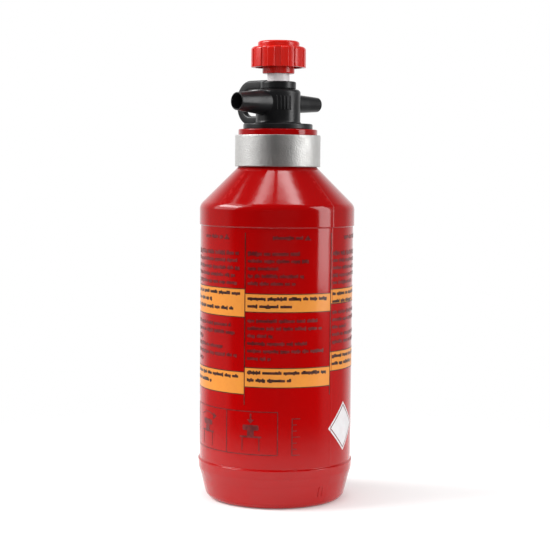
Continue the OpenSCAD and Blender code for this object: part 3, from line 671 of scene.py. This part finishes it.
spout = {"root": 5.2, "tip": 3.65, "start": 7.2, "straight": 8.25, "reach": 23.3, "bore": 3.2, "tipRound": 0.35, "fillet": 0.5}
airTube = {"root": 4.0, "tip": 3.05, "start": 8.0, "straight": 8.25, "reach": 23.1, "bore": 1.9, "tipRound": 1.0, "fillet": 0.5}


def barrelReach(z):  # radius of the barrel at a height
    over = z - (valve["barrelHigh"] - valve["shoulder"])
    if over <= 0:
        return valve["barrel"]
    over = min(over, valve["shoulder"] * 0.97)
    return valve["barrel"] - valve["shoulder"] + sqrt(valve["shoulder"] ** 2 - over ** 2)


# The blended root that follows the barrel's form, as a ring of closed sections round the tube
def makeRoot(name, size, side):
    stops = evenStops(72)
    slope = (size["root"] - size["tip"]) / (size["reach"] - size["straight"])
    points, faces, perRing = [], [], 9
    for a in stops:
        ca, sa = cos(a), sin(a)

        def onBarrel(reach):
            y, z = reach * ca, valve["tubeHeight"] + reach * sa
            return sqrt(max(barrelReach(z) ** 2 - y ** 2, 1.0))

        x = onBarrel(size["root"])
        f = size["fillet"]
        tubeAt = size["root"] - slope * max(0.0, x + f - size["straight"])
        foot = tubeAt + f
        first, corner, last = (x + f, tubeAt), (x, tubeAt), (onBarrel(foot), foot)
        section = []
        for k in range(7):
            t = k / 6
            section.append(tuple((1 - t) ** 2 * p + 2 * t * (1 - t) * c + t * t * q for p, c, q in zip(first, corner, last)))
        section += [(last[0] - 0.35, foot - 0.1), (x - 0.2, tubeAt - 0.35)]
        points += [(side * px * mm, reach * ca * mm, (valve["tubeHeight"] + reach * sa) * mm) for px, reach in section]
    count = len(stops)
    for i in range(count):
        k = (i + 1) % count
        for j in range(perRing):
            n = (j + 1) % perRing
            quad = (i * perRing + j, i * perRing + n, k * perRing + n, k * perRing + j)
            faces.append(quad if side > 0 else quad[::-1])
    return makeMesh(name, points, faces)


def makeTube(name, size, side, node):
    corners = [
        (size["bore"], size["start"], 0.1), (size["root"], size["start"], 0.1), (size["root"], size["straight"], 0.5),
        (size["tip"], size["reach"], size["tipRound"]), (size["bore"], size["reach"], 0.2),
    ]
    piece = turnOutline(name, softOutline(corners, 7), evenStops(96))
    piece.data.transform(Matrix.Translation((0, 0, valve["tubeHeight"] * mm)) @ Matrix.Rotation(side * pi / 2, 4, "Y"))
    finishPiece(piece, "valve", "valveBlack", [node])
    root = makeRoot(name + "Root", size, side)
    finishPiece(root, "valve", "valveBlack")


makeTube("pourSpout", spout, 1, "pour_spout")
makeTube("airTube", airTube, -1, "air_tube")
print("spout and air tube made")

# Carry loop

loop = {
    "collarLow": 170.4, "collarHigh": 173.4, "collarOuter": 7.35, "collarInner": 5.92, "edge": 0.6, "cover": 4.8,
    "barThickness": 3.0, "barWidth": 3.9, "barEdge": 0.9, "bend": 6.0, "far": 22.0, "high": 172.35, "low": 157.45,
    "start": 6.9, "foot": 10.6,
}


def makeLoop(size):
    collar = [
        (size["collarInner"], size["collarLow"], 0.1), (size["collarOuter"], size["collarLow"], 0.3),
        (size["collarOuter"], size["collarHigh"], size["edge"]), (size["cover"], size["collarHigh"], 0.08),
        (size["cover"], 173.12, 0.05), (size["collarInner"], 173.12, 0.05),
    ]
    ringPart = turnOutline("loopCollar", softOutline(collar, 7), evenStops(96))
    finishPiece(ringPart, "valve", "valveBlack", ["carry_loop"])
    path = [(size["start"], size["high"]), (size["far"], size["high"]), (size["far"], size["low"]), (size["foot"], size["low"])]
    mesh = bpy.data.meshes.new("loopBar")
    mesh.from_pydata([(0, -reach * mm, z * mm) for reach, z in path], [(0, 1), (1, 2), (2, 3)], [])
    bar = bpy.data.objects.new("loopBar", mesh)
    scene.collection.objects.link(bar)
    shapeWith(bar, bentBar, Thickness=size["barThickness"] * mm, Width=size["barWidth"] * mm,
              Edge_radius=size["barEdge"] * mm, Bend_radius=size["bend"] * mm)
    finishPiece(bar, "valve", "valveBlack")


makeLoop(loop)
print("carry loop made")

# Knob, cap and stem

knob = {
    "radius": 11.4, "low": 179.2, "high": 187.8, "shoulder": (2.2, 1.6), "grooves": 12, "depth": 0.45, "firstEdge": 7,
    "edgeWidth": 1.6, "skirtInner": 9.6, "roof": 185.3, "hub": 6.65, "hubLow": 176.65, "stem": 4.7, "stemTop": 179.15,
    "topBore": 3.05, "web": 183.5, "recess": 184.6, "recessRadius": 3.7, "capSeat": 186.5, "capBore": 6.85,
}
cap = {"radius": 8.6, "low": 187.8, "high": 190.0, "edge": 1.5, "dish": 0.3, "dishRadius": 6.2, "spigot": 6.8, "seat": 186.6}


def makeKnob(size):
    wide, tall = size["shoulder"]
    r, high = size["radius"], size["high"]
    bend = []
    for k in range(9):  # the skirt's top edge leans over in one soft curve
        t = k / 8
        bend.append((r - wide * t * t, high - tall * (1 - t) ** 2 - 0.2 * t * (1 - t), 0))
    corners = [
        (size["stem"], size["hubLow"], 0.1), (size["hub"], size["hubLow"], 0.45), (size["hub"], size["roof"], 0.3),
        (size["skirtInner"], size["roof"] - 0.3, 0.4), (size["skirtInner"] + 0.2, size["low"], 0.1),
        (r, size["low"], 0.25), *bend, (size["capBore"], high, 0.1), (size["capBore"], size["capSeat"], 0.1),
        (size["recessRadius"], size["capSeat"], 0.1), (size["recessRadius"], size["recess"], 0.1),
        (1.55, size["recess"], 0.1), (1.55, size["web"], 0.05), (size["topBore"], size["web"], 0.1),
        (size["topBore"], size["stemTop"], 0.1), (size["stem"], size["stemTop"], 0.1),
    ]
    pitch = 2 * pi / size["grooves"]
    edge = radians(size["edgeWidth"]) / 2
    first = radians(size["firstEdge"])
    stops = set()
    for i in range(size["grooves"] * 2):
        here = first + i * pitch / 2
        stops |= {round((here + edge * k) % (2 * pi), 6) for k in (-1.6, -1, -0.5, 0, 0.5, 1, 1.6)}
        stops |= {round((here + pitch * k / 8) % (2 * pi), 6) for k in (1, 2, 3)}
    piece = turnOutline("knobBody", softOutline(corners, 6), sorted(stops))
    shapeWith(piece, gripGrooves, Grooves=size["grooves"], Floor_radius=(r - size["depth"]) * mm, First_edge=first,
              Edge_width=2 * edge)
    return finishPiece(piece, "knob", "knobRed", ["knob"], 50)


def makeCap(size):
    corners = [
        (0, size["seat"], 0), (size["spigot"], size["seat"], 0.15), (size["spigot"], size["low"], 0.05),
        (size["radius"], size["low"], 0.15), (size["radius"], size["high"], size["edge"]),
        (size["dishRadius"], size["high"], 0.3), (size["dishRadius"] - 0.35, size["high"] - size["dish"], 0.3),
        (0, size["high"] - size["dish"], 0),
    ]
    piece = turnOutline("knobCap", softOutline(corners, 7), evenStops(128), loop=False)
    return finishPiece(piece, "knob", "capRedPaintedHighlight", ["knob_cap"])


stem = {"radius": 4.6, "waist": 1.9, "tail": 1.6, "low": 134.45, "sealTop": 138.7, "taper": (166.6, 168.9), "groove": (170.4, 171.9),
        "grooveRadius": 3.53, "shoulder": 179.15, "topRadius": 3.0, "top": 183.5, "pinHeight": 153.8, "pinRadius": 0.76}


def makeStem(size):
    corners = [
        (0, size["low"], 0), (size["tail"], size["low"], 0.15), (size["tail"], size["sealTop"], 0.05),
        (size["waist"], size["sealTop"], 0.1), (size["waist"], size["taper"][0], 0.4), (size["radius"], size["taper"][1], 0.4),
        (size["radius"], size["groove"][0], 0.05), (size["grooveRadius"], size["groove"][0], 0.05),
        (size["grooveRadius"], size["groove"][1], 0.05), (size["radius"], size["groove"][1], 0.05),
        (size["radius"], size["shoulder"], 0.1), (size["topRadius"], size["shoulder"], 0.1),
        (size["topRadius"], size["top"], 0.2), (1.5, size["top"], 0.1), (1.5, size["top"] - 7, 0.05), (0, size["top"] - 7, 0),
    ]
    piece = turnOutline("stemRod", softOutline(corners, 5), evenStops(96), loop=False)
    hole = turnOutline("pinHole", [(0, -6), (size["pinRadius"], -6), (size["pinRadius"], 6), (0, 6)], evenStops(32), loop=False)
    hole.data.transform(Matrix.Translation((0, 0, size["pinHeight"] * mm)) @ Matrix.Rotation(pi / 2, 4, "Y"))
    screwHole = turnOutline("screwHole", [(0, 133), (0.9, 133), (0.9, 140.4), (0, 140.4)], evenStops(24), loop=False)
    carve(piece, [hole, screwHole])
    return finishPiece(piece, "knob", "acetalWhite", ["stem"])


makeKnob(knob)
makeCap(cap)
makeStem(stem)
print("knob, cap and stem made")

# Return spring

spring = {"turns": 7.0, "coil": 3.2, "wire": 0.4, "low": 142.0, "high": 152.2, "closePitch": 1.04, "travel": 3.0}


def makeSpring(size):
    mesh = bpy.data.meshes.new("returnSpring")
    mesh.from_pydata([(0, 0, size["low"] * mm), (0, 0, size["high"] * mm)], [(0, 1)], [])
    piece = bpy.data.objects.new("returnSpring", mesh)
    scene.collection.objects.link(piece)
    shapeWith(piece, wireCoil, Turns=size["turns"], Coil_radius=size["coil"] * mm, Wire_radius=size["wire"] * mm,
              Low=size["low"] * mm, High=size["high"] * mm, Close_pitch=size["closePitch"] * mm)
    finishPiece(piece, "valve", "brightSteel", ["return_spring"])
    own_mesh(piece)


makeSpring(spring)
print("return spring made")

# Print on the panel

# Places are heights in millimetres and angles in degrees round the bottle; 0 is the spout's side
panelPrint = {
    "ruleAngle": 22.7, "columnAngle": 66.9, "columns": 5, "firstColumn": -1, "ruleTop": 112.0, "ruleWidth": 0.30,
    "thickness": 0.05, "margin": 1.1, "lineHeight": 1.0, "boldHeight": 1.2, "boxHeight": 1.0, "outline": 0.32, "seed": 7,
}
# Each column: upper and lower box, where its rule ends, and how far across the fill mark and the lines reach
columns = [
    {"boxes": ((78.2, 89.5), (47.1, 56.1)), "ruleEnd": 42.6, "mark": 0.76, "reach": (0.95, 0.93, 0.96, 0.9, 0.94)},
    {"boxes": ((80.4, 87.7), (50.2, 58.0)), "ruleEnd": 42.8, "mark": 0.69, "reach": (0.65, 0.72, 0.40, 0.66, 0.56)},
    {"boxes": ((83.3, 89.2), (56.0, 63.8)), "ruleEnd": 46.4, "mark": 0.62, "reach": (0.70, 0.84, 0.62, 0.9, 0.5)},
    {"boxes": ((79.5, 88.9), (49.0, 58.2)), "ruleEnd": 44.0, "mark": 0.66, "reach": (0.58, 0.9, 0.77, 0.86, 0.4)},
    {"boxes": ((82.0, 89.0), (52.4, 60.6)), "ruleEnd": 45.0, "mark": 0.72, "reach": (0.8, 0.66, 0.9, 0.74, 0.52)},
]


# A flat shape as a closed slab: columns of (x, low, high) in millimetres, with x measured round the panel
def addSlab(points, faces, columns, depth):
    first = len(points)
    for x, low, high in columns:
        points += [(x * mm, y * mm, z * mm) for y, z in ((depth, low), (depth, high), (-0.02, high), (-0.02, low))]
    for i in range(len(columns) - 1):
        a, b = first + 4 * i, first + 4 * (i + 1)
        for j in range(4):
            n = (j + 1) % 4
            faces.append((a + j, b + j, b + n, a + n))
    end = first + 4 * (len(columns) - 1)
    faces.append((first, first + 1, first + 2, first + 3))
    faces.append((end + 3, end + 2, end + 1, end))


def barColumns(x0, x1, low, high, rounding):  # a bar with rounded ends
    rounding = min(rounding, (high - low) / 2 - 0.01, (x1 - x0) / 2 - 0.01)
    steps = max(1, int((x1 - x0) / 1.2))
    ends = [(rounding * (1 - cos(a)), rounding * (1 - sin(a))) for a in (0.0, pi / 6, pi / 3, pi / 2)]
    left = [(x0 + dx, low + dz, high - dz) for dx, dz in ends]
    right = [(x1 - dx, low + dz, high - dz) for dx, dz in reversed(ends)]
    inner = [(x0 + rounding + (x1 - x0 - 2 * rounding) * k / steps, low, high) for k in range(1, steps)]
    return left + inner + right


def strokeColumns(x0, z0, x1, z1, width):  # a slanting stroke, left to right
    half = width / 2 * sqrt(1 + ((z1 - z0) / (x1 - x0)) ** 2)
    return [(x0 + (x1 - x0) * k / 4, z0 + (z1 - z0) * k / 4 - half, z0 + (z1 - z0) * k / 4 + half) for k in range(5)]


def printPiece(name, slabs, finish):  # slabs are (columns, depth)
    points, faces = [], []
    for columns, depth in slabs:
        addSlab(points, faces, columns, depth)
    piece = makeMesh(name, points, faces)
    shapeWith(piece, wrapPrint, Radius=bottle["panelRadius"] * mm, Waist=bottle["panelWaist"] * mm,
              Middle=panelMiddle * mm, Half_height=panelHalf * mm)
    return finishPiece(piece, "bottle", finish, (), 30)


def around(angle):  # length round the panel at an angle
    return radians(angle) * bottle["panelRadius"]


# A line of plain bars in word lengths, with a few taller places, where the panel has words
def wordBars(chance, x0, x1, middle, height):
    bars, x = [], x0
    while x < x1 - 0.8:
        length = min(chance.uniform(2.0, 8.5), x1 - x)
        low, high = middle - height / 2, middle + height / 2
        steps = max(2, int(length / 0.62))
        bar = [(x, low + 0.25 * height, high - 0.25 * height)]
        for k in range(steps):
            tall = height * chance.choice((0, 0, 0.12, 0.42 if k else 0.3))
            deep = height * chance.choice((0, 0, 0, 0, 0.3))
            bar += [(x + length * (k + part) / steps, low - deep, high + tall) for part in (0.12, 0.88)]
        bars.append(bar + [(x + length, low + 0.25 * height, high - 0.25 * height)])
        x += length + 0.7
    return bars


def makePanelPrint(size):
    chance = random.Random(size["seed"])
    inkDepth, boxDepth = size["thickness"] + 0.03, size["thickness"]
    ink, rules, boxes, boxWords = [], [], [], []
    for i in range(size["columns"]):
        angle = size["ruleAngle"] + size["columnAngle"] * (i + size["firstColumn"])
        x0, x1 = around(angle), around(angle + size["columnAngle"])
        upper, lower = columns[i]["boxes"]
        ruleEnd, reach, wide = columns[i]["ruleEnd"], columns[i]["reach"], size["ruleWidth"]
        rules.append(barColumns(x0 - wide / 2, x0 + wide / 2, ruleEnd, size["ruleTop"], 0.05))
        if i == size["columns"] - 1:
            rules.append(barColumns(x1 - wide / 2, x1 + wide / 2, ruleEnd, size["ruleTop"], 0.05))
        left, right = x0 + size["margin"], x1 - size["margin"]
        # Fill mark: two short bars and a small triangle, set to the right
        mark = x0 + (x1 - x0) * columns[i]["mark"]
        ink += wordBars(chance, mark - 14.3, mark - 2.0, 110.0, size["lineHeight"])
        ink.append([(mark - 1.35 + 2.7 * k / 6, 109.2, 109.25 + 2.0 * (1 - abs(k / 3 - 1))) for k in range(7)])
        for k, z in enumerate((103.6, 100.7, 97.7, 94.7, 91.7)):
            if z > upper[1] + 1.4:
                height = size["lineHeight"] if k else size["boldHeight"]
                ink += wordBars(chance, left, left + reach[k] * (right - left), z, height)
        for low, high in (upper, lower):
            boxes.append((barColumns(x0 + 0.2, x1 - 0.2, low, high, 0.1), boxDepth))
            for edge in (low, high):
                rules.append(barColumns(x0, x1, edge - size["outline"] / 2, edge + size["outline"] / 2, 0.05))
            lines = max(2, int((high - low) / 3.4))
            for k in range(lines):
                share = (0.97, 0.52, 0.88, 0.35)[k]
                z = high - 2.0 - 3.05 * k
                boxWords += [(c, inkDepth) for c in wordBars(chance, left, left + share * (right - left), z, size["boxHeight"])]
        z = upper[0] - 3.6
        k = 0
        while z > lower[1] + 1.6:
            ink += wordBars(chance, left, left + (0.84, 0.9, 0.3, 0.75, 0.93, 0.28)[k % 6] * (right - left), z, size["lineHeight"])
            z -= 3.03
            k += 1
    printPiece("panelBoxes", boxes, "printOrange")
    printPiece("panelLines", [(c, inkDepth) for c in ink], "printInk")
    printPiece("panelRules", [(c, inkDepth) for c in rules], "printBlack")
    printPiece("boxLines", boxWords, "printBlack")


# Two framed pictures: a turning arrow over a knob, and a press arrow
pictures = {"angles": (-36.5, 7.8, 47.8), "low": 22.9, "high": 40.3, "line": 0.34}


def makePictures(size):
    depth = panelPrint["thickness"]
    low, high, wide = size["low"], size["high"], size["line"]
    strokes = []
    edges = [around(a) for a in size["angles"]]
    for x in edges:
        strokes.append(barColumns(x - wide / 2, x + wide / 2, low, high, 0.05))
    for z in (low, high):
        strokes.append(barColumns(edges[0], edges[-1], z - wide / 2, z + wide / 2, 0.05))
    for i in range(2):
        middle = (edges[i] + edges[i + 1]) / 2
        base = low + 2.6
        # A bottle's neck and a round knob, drawn from plain bars
        for x in (-3.6, 3.6):
            strokes.append(barColumns(middle + x - wide / 2, middle + x + wide / 2, base - 1.0, base + 4.2, 0.05))
        strokes.append(barColumns(middle - 4.6, middle + 4.6, base + 4.2, base + 4.9, 0.2))
        strokes.append(barColumns(middle - 1.4, middle + 1.4, base + 4.9, base + 7.2, 0.1))
        strokes.append(barColumns(middle - 3.4, middle + 3.4, base + 7.2, base + 9.4, 0.6))
        if i == 0:  # arrow that turns round the knob
            count = 14
            bow = []
            for k in range(count + 1):
                t = k / count
                x = middle - 5.2 + 10.4 * t
                z = base + 11.0 + 1.5 * sin(pi * t)
                bow.append((x, z - 0.2, z + 0.2))
            strokes.append(bow)
            strokes.append([(middle + 4.2 + 2.2 * k / 4, base + 11.2 - 1.5 * (1 - k / 4), base + 11.25 + 1.2 * (1 - k / 4)) for k in range(5)])
        else:  # arrow that presses the knob down
            strokes.append(barColumns(middle - 0.35, middle + 0.35, base + 11.6, base + 14.0, 0.05))
            strokes.append([(middle - 1.5 + 3.0 * k / 6, base + 10.0 + 1.55 * abs(k / 3 - 1), base + 11.6) for k in range(7)])
    printPiece("panelPictures", [(c, depth + 0.02) for c in strokes], "printInk")
    # A plain scale of ticks stands where the volume is printed
    ticks = []
    for k in range(7):
        z = 22.9 + 2.45 * k
        ticks.append(barColumns(around(58.4), around(58.4) + (3.4 if k % 3 == 0 else 2.0), z - 0.17, z + 0.17, 0.05))
    ticks.append(barColumns(around(58.4) - 0.2, around(58.4) + 0.2, 22.7, 37.8, 0.05))
    printPiece("levelTicks", [(c, depth + 0.02) for c in ticks], "printInk")


# A plain white diamond with a thin dark line inside its edge
diamond = {"angle": 107.0, "middle": 32.4, "half": 10.1, "lineAt": 0.90, "lineTo": 0.84}


def makeDiamond(size):
    depth = panelPrint["thickness"]
    middle = around(size["angle"])

    def leaf(half):
        return [(middle - half + 2 * half * k / 24, size["middle"] - half * (1 - abs(k / 12 - 1)) - 0.005,
                 size["middle"] + half * (1 - abs(k / 12 - 1)) + 0.005) for k in range(25)]

    printPiece("panelDiamond", [(leaf(size["half"]), depth)], "printWhite")
    outer, inner = size["half"] * size["lineAt"], size["half"] * size["lineTo"]
    strokes = []
    for sign in (-1, 1):
        for up in (-1, 1):
            columns = []
            for k in range(13):
                x = outer * k / 12
                far = outer - x
                near = max(inner - x, 0.0)
                zLow, zHigh = sorted((up * near, up * (far + 0.01)))
                columns.append((middle + sign * x, size["middle"] + zLow, size["middle"] + zHigh))
            strokes.append((columns if sign > 0 else columns[::-1], depth + 0.02))
    printPiece("diamondLine", strokes, "printInk")


makePanelPrint(panelPrint)
makePictures(pictures)
makeDiamond(diamond)
print("print made")

# Inner pieces that keep their solids

innerFinish = {
    "flange_gasket": "sealRubber", "valve_seat": "acetalWhite", "lock_bush": "acetalWhite", "spring_washer": "brightSteel",
    "poppet": "acetalWhite", "poppet_seal": "sealRubber", "stem_seal": "sealRubber", "lock_pin": "brightSteel",
    "poppet_washer": "brightSteel", "poppet_screw": "brightSteel", "knob_screw": "brightSteel",
}
for node, finish in innerFinish.items():
    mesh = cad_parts[node].data
    mesh.materials.clear()
    mesh.materials.append(finishes[finish])
print("inner pieces finished")

# Floor, light and camera

studio = {
    "floorSize": 0.6, "floorFade": (0.075, 0.23), "floorColour": (0.82, 0.82, 0.82), "floorGlow": 0.13,
    "ambient": 0.55, "ambientBelow": 0.30, "frontReflection": 0.0, "sideReflection": 0.32, "behindReflection": 1.0,
    "aboveShare": 0.20,
}
# Direction from the bottle in degrees right of the camera, height of the lamp in degrees, distance, size, power
lamps = {
    "leftSoftbox": {"turn": -86, "rise": 35, "distance": 0.9, "size": (0.70, 0.84), "power": 4.2, "mirrored": True},
    "leftHigh": {"turn": -85, "rise": 38, "distance": 0.8, "size": (0.50, 0.24), "power": 4.0, "mirrored": True},
    "rightStrip": {"turn": 74, "rise": 20, "distance": 0.9, "size": (0.34, 0.86), "power": 5.0, "mirrored": True},
    "overheadLeft": {"turn": -90, "rise": 76, "distance": 0.8, "size": (0.05, 0.30), "power": 0.30, "mirrored": True},
    "overheadRight": {"turn": 90, "rise": 79, "distance": 0.8, "size": (0.06, 0.30), "power": 0.52, "mirrored": True},
    "overheadFill": {"turn": 0, "rise": 84, "distance": 0.9, "size": (0.5, 0.5), "power": 1.6, "mirrored": False},
    "frontFill": {"turn": 4, "rise": 4, "distance": 1.2, "size": (1.2, 0.5), "power": 2.9, "mirrored": False},
}
view = {"distance": 618.57, "height": 139.31, "heading": 135.97, "pitch": 4.218, "roll": 0.55, "lens": 97.02, "shift": -0.0028}


def makeWorld(level):
    world = bpy.data.worlds.new("studio")
    scene.world = world
    world.use_nodes = True
    tree = world.node_tree
    tree.nodes.clear()
    rays = put(tree, "ShaderNodeLightPath").outputs
    direction = put(tree, "ShaderNodeTexCoord").outputs["Generated"]
    heading = radians(view["heading"])
    ahead = (-sin(heading), cos(heading), 0.0)
    facing = put(tree, "ShaderNodeVectorMath", {0: direction, 1: ahead}, operation="DOT_PRODUCT").outputs["Value"]
    seen = scaled(tree, ramp(tree, facing, -0.42, -0.15), level["frontReflection"], level["sideReflection"])
    behind = ramp(tree, facing, 0.45, 0.85)
    seen = put(tree, "ShaderNodeMix", {0: behind, 2: seen, 3: level["behindReflection"]}).outputs[0]
    height = put(tree, "ShaderNodeSeparateXYZ", {0: direction}).outputs[2]
    seen = calc(tree, "MULTIPLY", seen, scaled(tree, ramp(tree, height, 0.35, 0.75), 1.0, level["aboveShare"]))
    soft = scaled(tree, ramp(tree, height, -0.15, 0.1), level["ambientBelow"], level["ambient"])
    ambient = put(tree, "ShaderNodeMix", {0: rays["Is Glossy Ray"], 2: soft, 3: seen}).outputs[0]
    white = calc(tree, "MAXIMUM", rays["Is Camera Ray"], rays["Is Transmission Ray"])
    strength = put(tree, "ShaderNodeMix", {0: white, 2: ambient, 3: 1.0}).outputs[0]
    back = put(tree, "ShaderNodeBackground", {"Color": (1, 1, 1, 1), "Strength": strength})
    tree.links.new(back.outputs[0], put(tree, "ShaderNodeOutputWorld").inputs["Surface"])


def makeFloor(level):
    half, steps = level["floorSize"] / 2, 12
    points = [(-half + 2 * half * i / steps, -half + 2 * half * j / steps, 0) for j in range(steps + 1) for i in range(steps + 1)]
    faces = [(j * (steps + 1) + i, j * (steps + 1) + i + 1, (j + 1) * (steps + 1) + i + 1, (j + 1) * (steps + 1) + i)
             for j in range(steps) for i in range(steps)]
    floor = makeMesh("paleFloor", points, faces)
    material = bpy.data.materials.new("floorPaper")
    material.use_nodes = True
    tree = material.node_tree
    shader = tree.nodes["Principled BSDF"]
    shader.inputs["Base Color"].default_value = (*level["floorColour"], 1)
    shader.inputs["Roughness"].default_value = 0.9
    shader.inputs["Specular IOR Level"].default_value = 0.1
    shader.inputs["Emission Color"].default_value = (1, 1, 1, 1)
    shader.inputs["Emission Strength"].default_value = level["floorGlow"]
    spot = put(tree, "ShaderNodeTexCoord").outputs["Object"]
    away = put(tree, "ShaderNodeVectorMath", {0: spot}, operation="LENGTH").outputs["Value"]
    tree.links.new(calc(tree, "SUBTRACT", 1.0, ramp(tree, away, *level["floorFade"])), shader.inputs["Alpha"])
    floor.data.materials.append(material)


def makeLamps(lampList):
    middle = Vector((0, 0, 0.1))
    for name, lamp in lampList.items():
        data = bpy.data.lights.new(name, "AREA")
        data.shape, data.size, data.size_y, data.energy = "RECTANGLE", *lamp["size"], lamp["power"]
        obj = bpy.data.objects.new(name, data)
        scene.collection.objects.link(obj)
        heading = radians(view["heading"] + lamp["turn"])
        rise = radians(lamp["rise"])
        out = Vector((sin(heading) * cos(rise), -cos(heading) * cos(rise), sin(rise)))
        obj.location = middle + out * lamp["distance"]
        obj.rotation_mode = "QUATERNION"
        obj.rotation_quaternion = out.to_track_quat("Z", "Y")
        obj.visible_glossy = lamp["mirrored"]  # the fill only softens the shade


def makeCamera(size):
    data = bpy.data.cameras.new("photoCamera")
    data.sensor_width, data.lens, data.shift_x = 36, size["lens"], size["shift"]
    data.clip_start, data.clip_end = 0.02, 20
    camera = bpy.data.objects.new("photoCamera", data)
    scene.collection.objects.link(camera)
    heading, pitch = radians(size["heading"]), radians(size["pitch"])
    spot = Vector((sin(heading), -cos(heading), 0)) * size["distance"] * mm + Vector((0, 0, size["height"] * mm))
    camera.matrix_world = (Matrix.Translation(spot) @ Matrix.Rotation(heading, 4, "Z")
                           @ Matrix.Rotation(pi / 2 - pitch, 4, "X") @ Matrix.Rotation(radians(size["roll"]), 4, "Z"))
    scene.camera = camera


makeWorld(studio)
makeFloor(studio)
makeLamps(lamps)
makeCamera(view)
scene.view_settings.view_transform = "Standard"
print("floor, light and camera made")
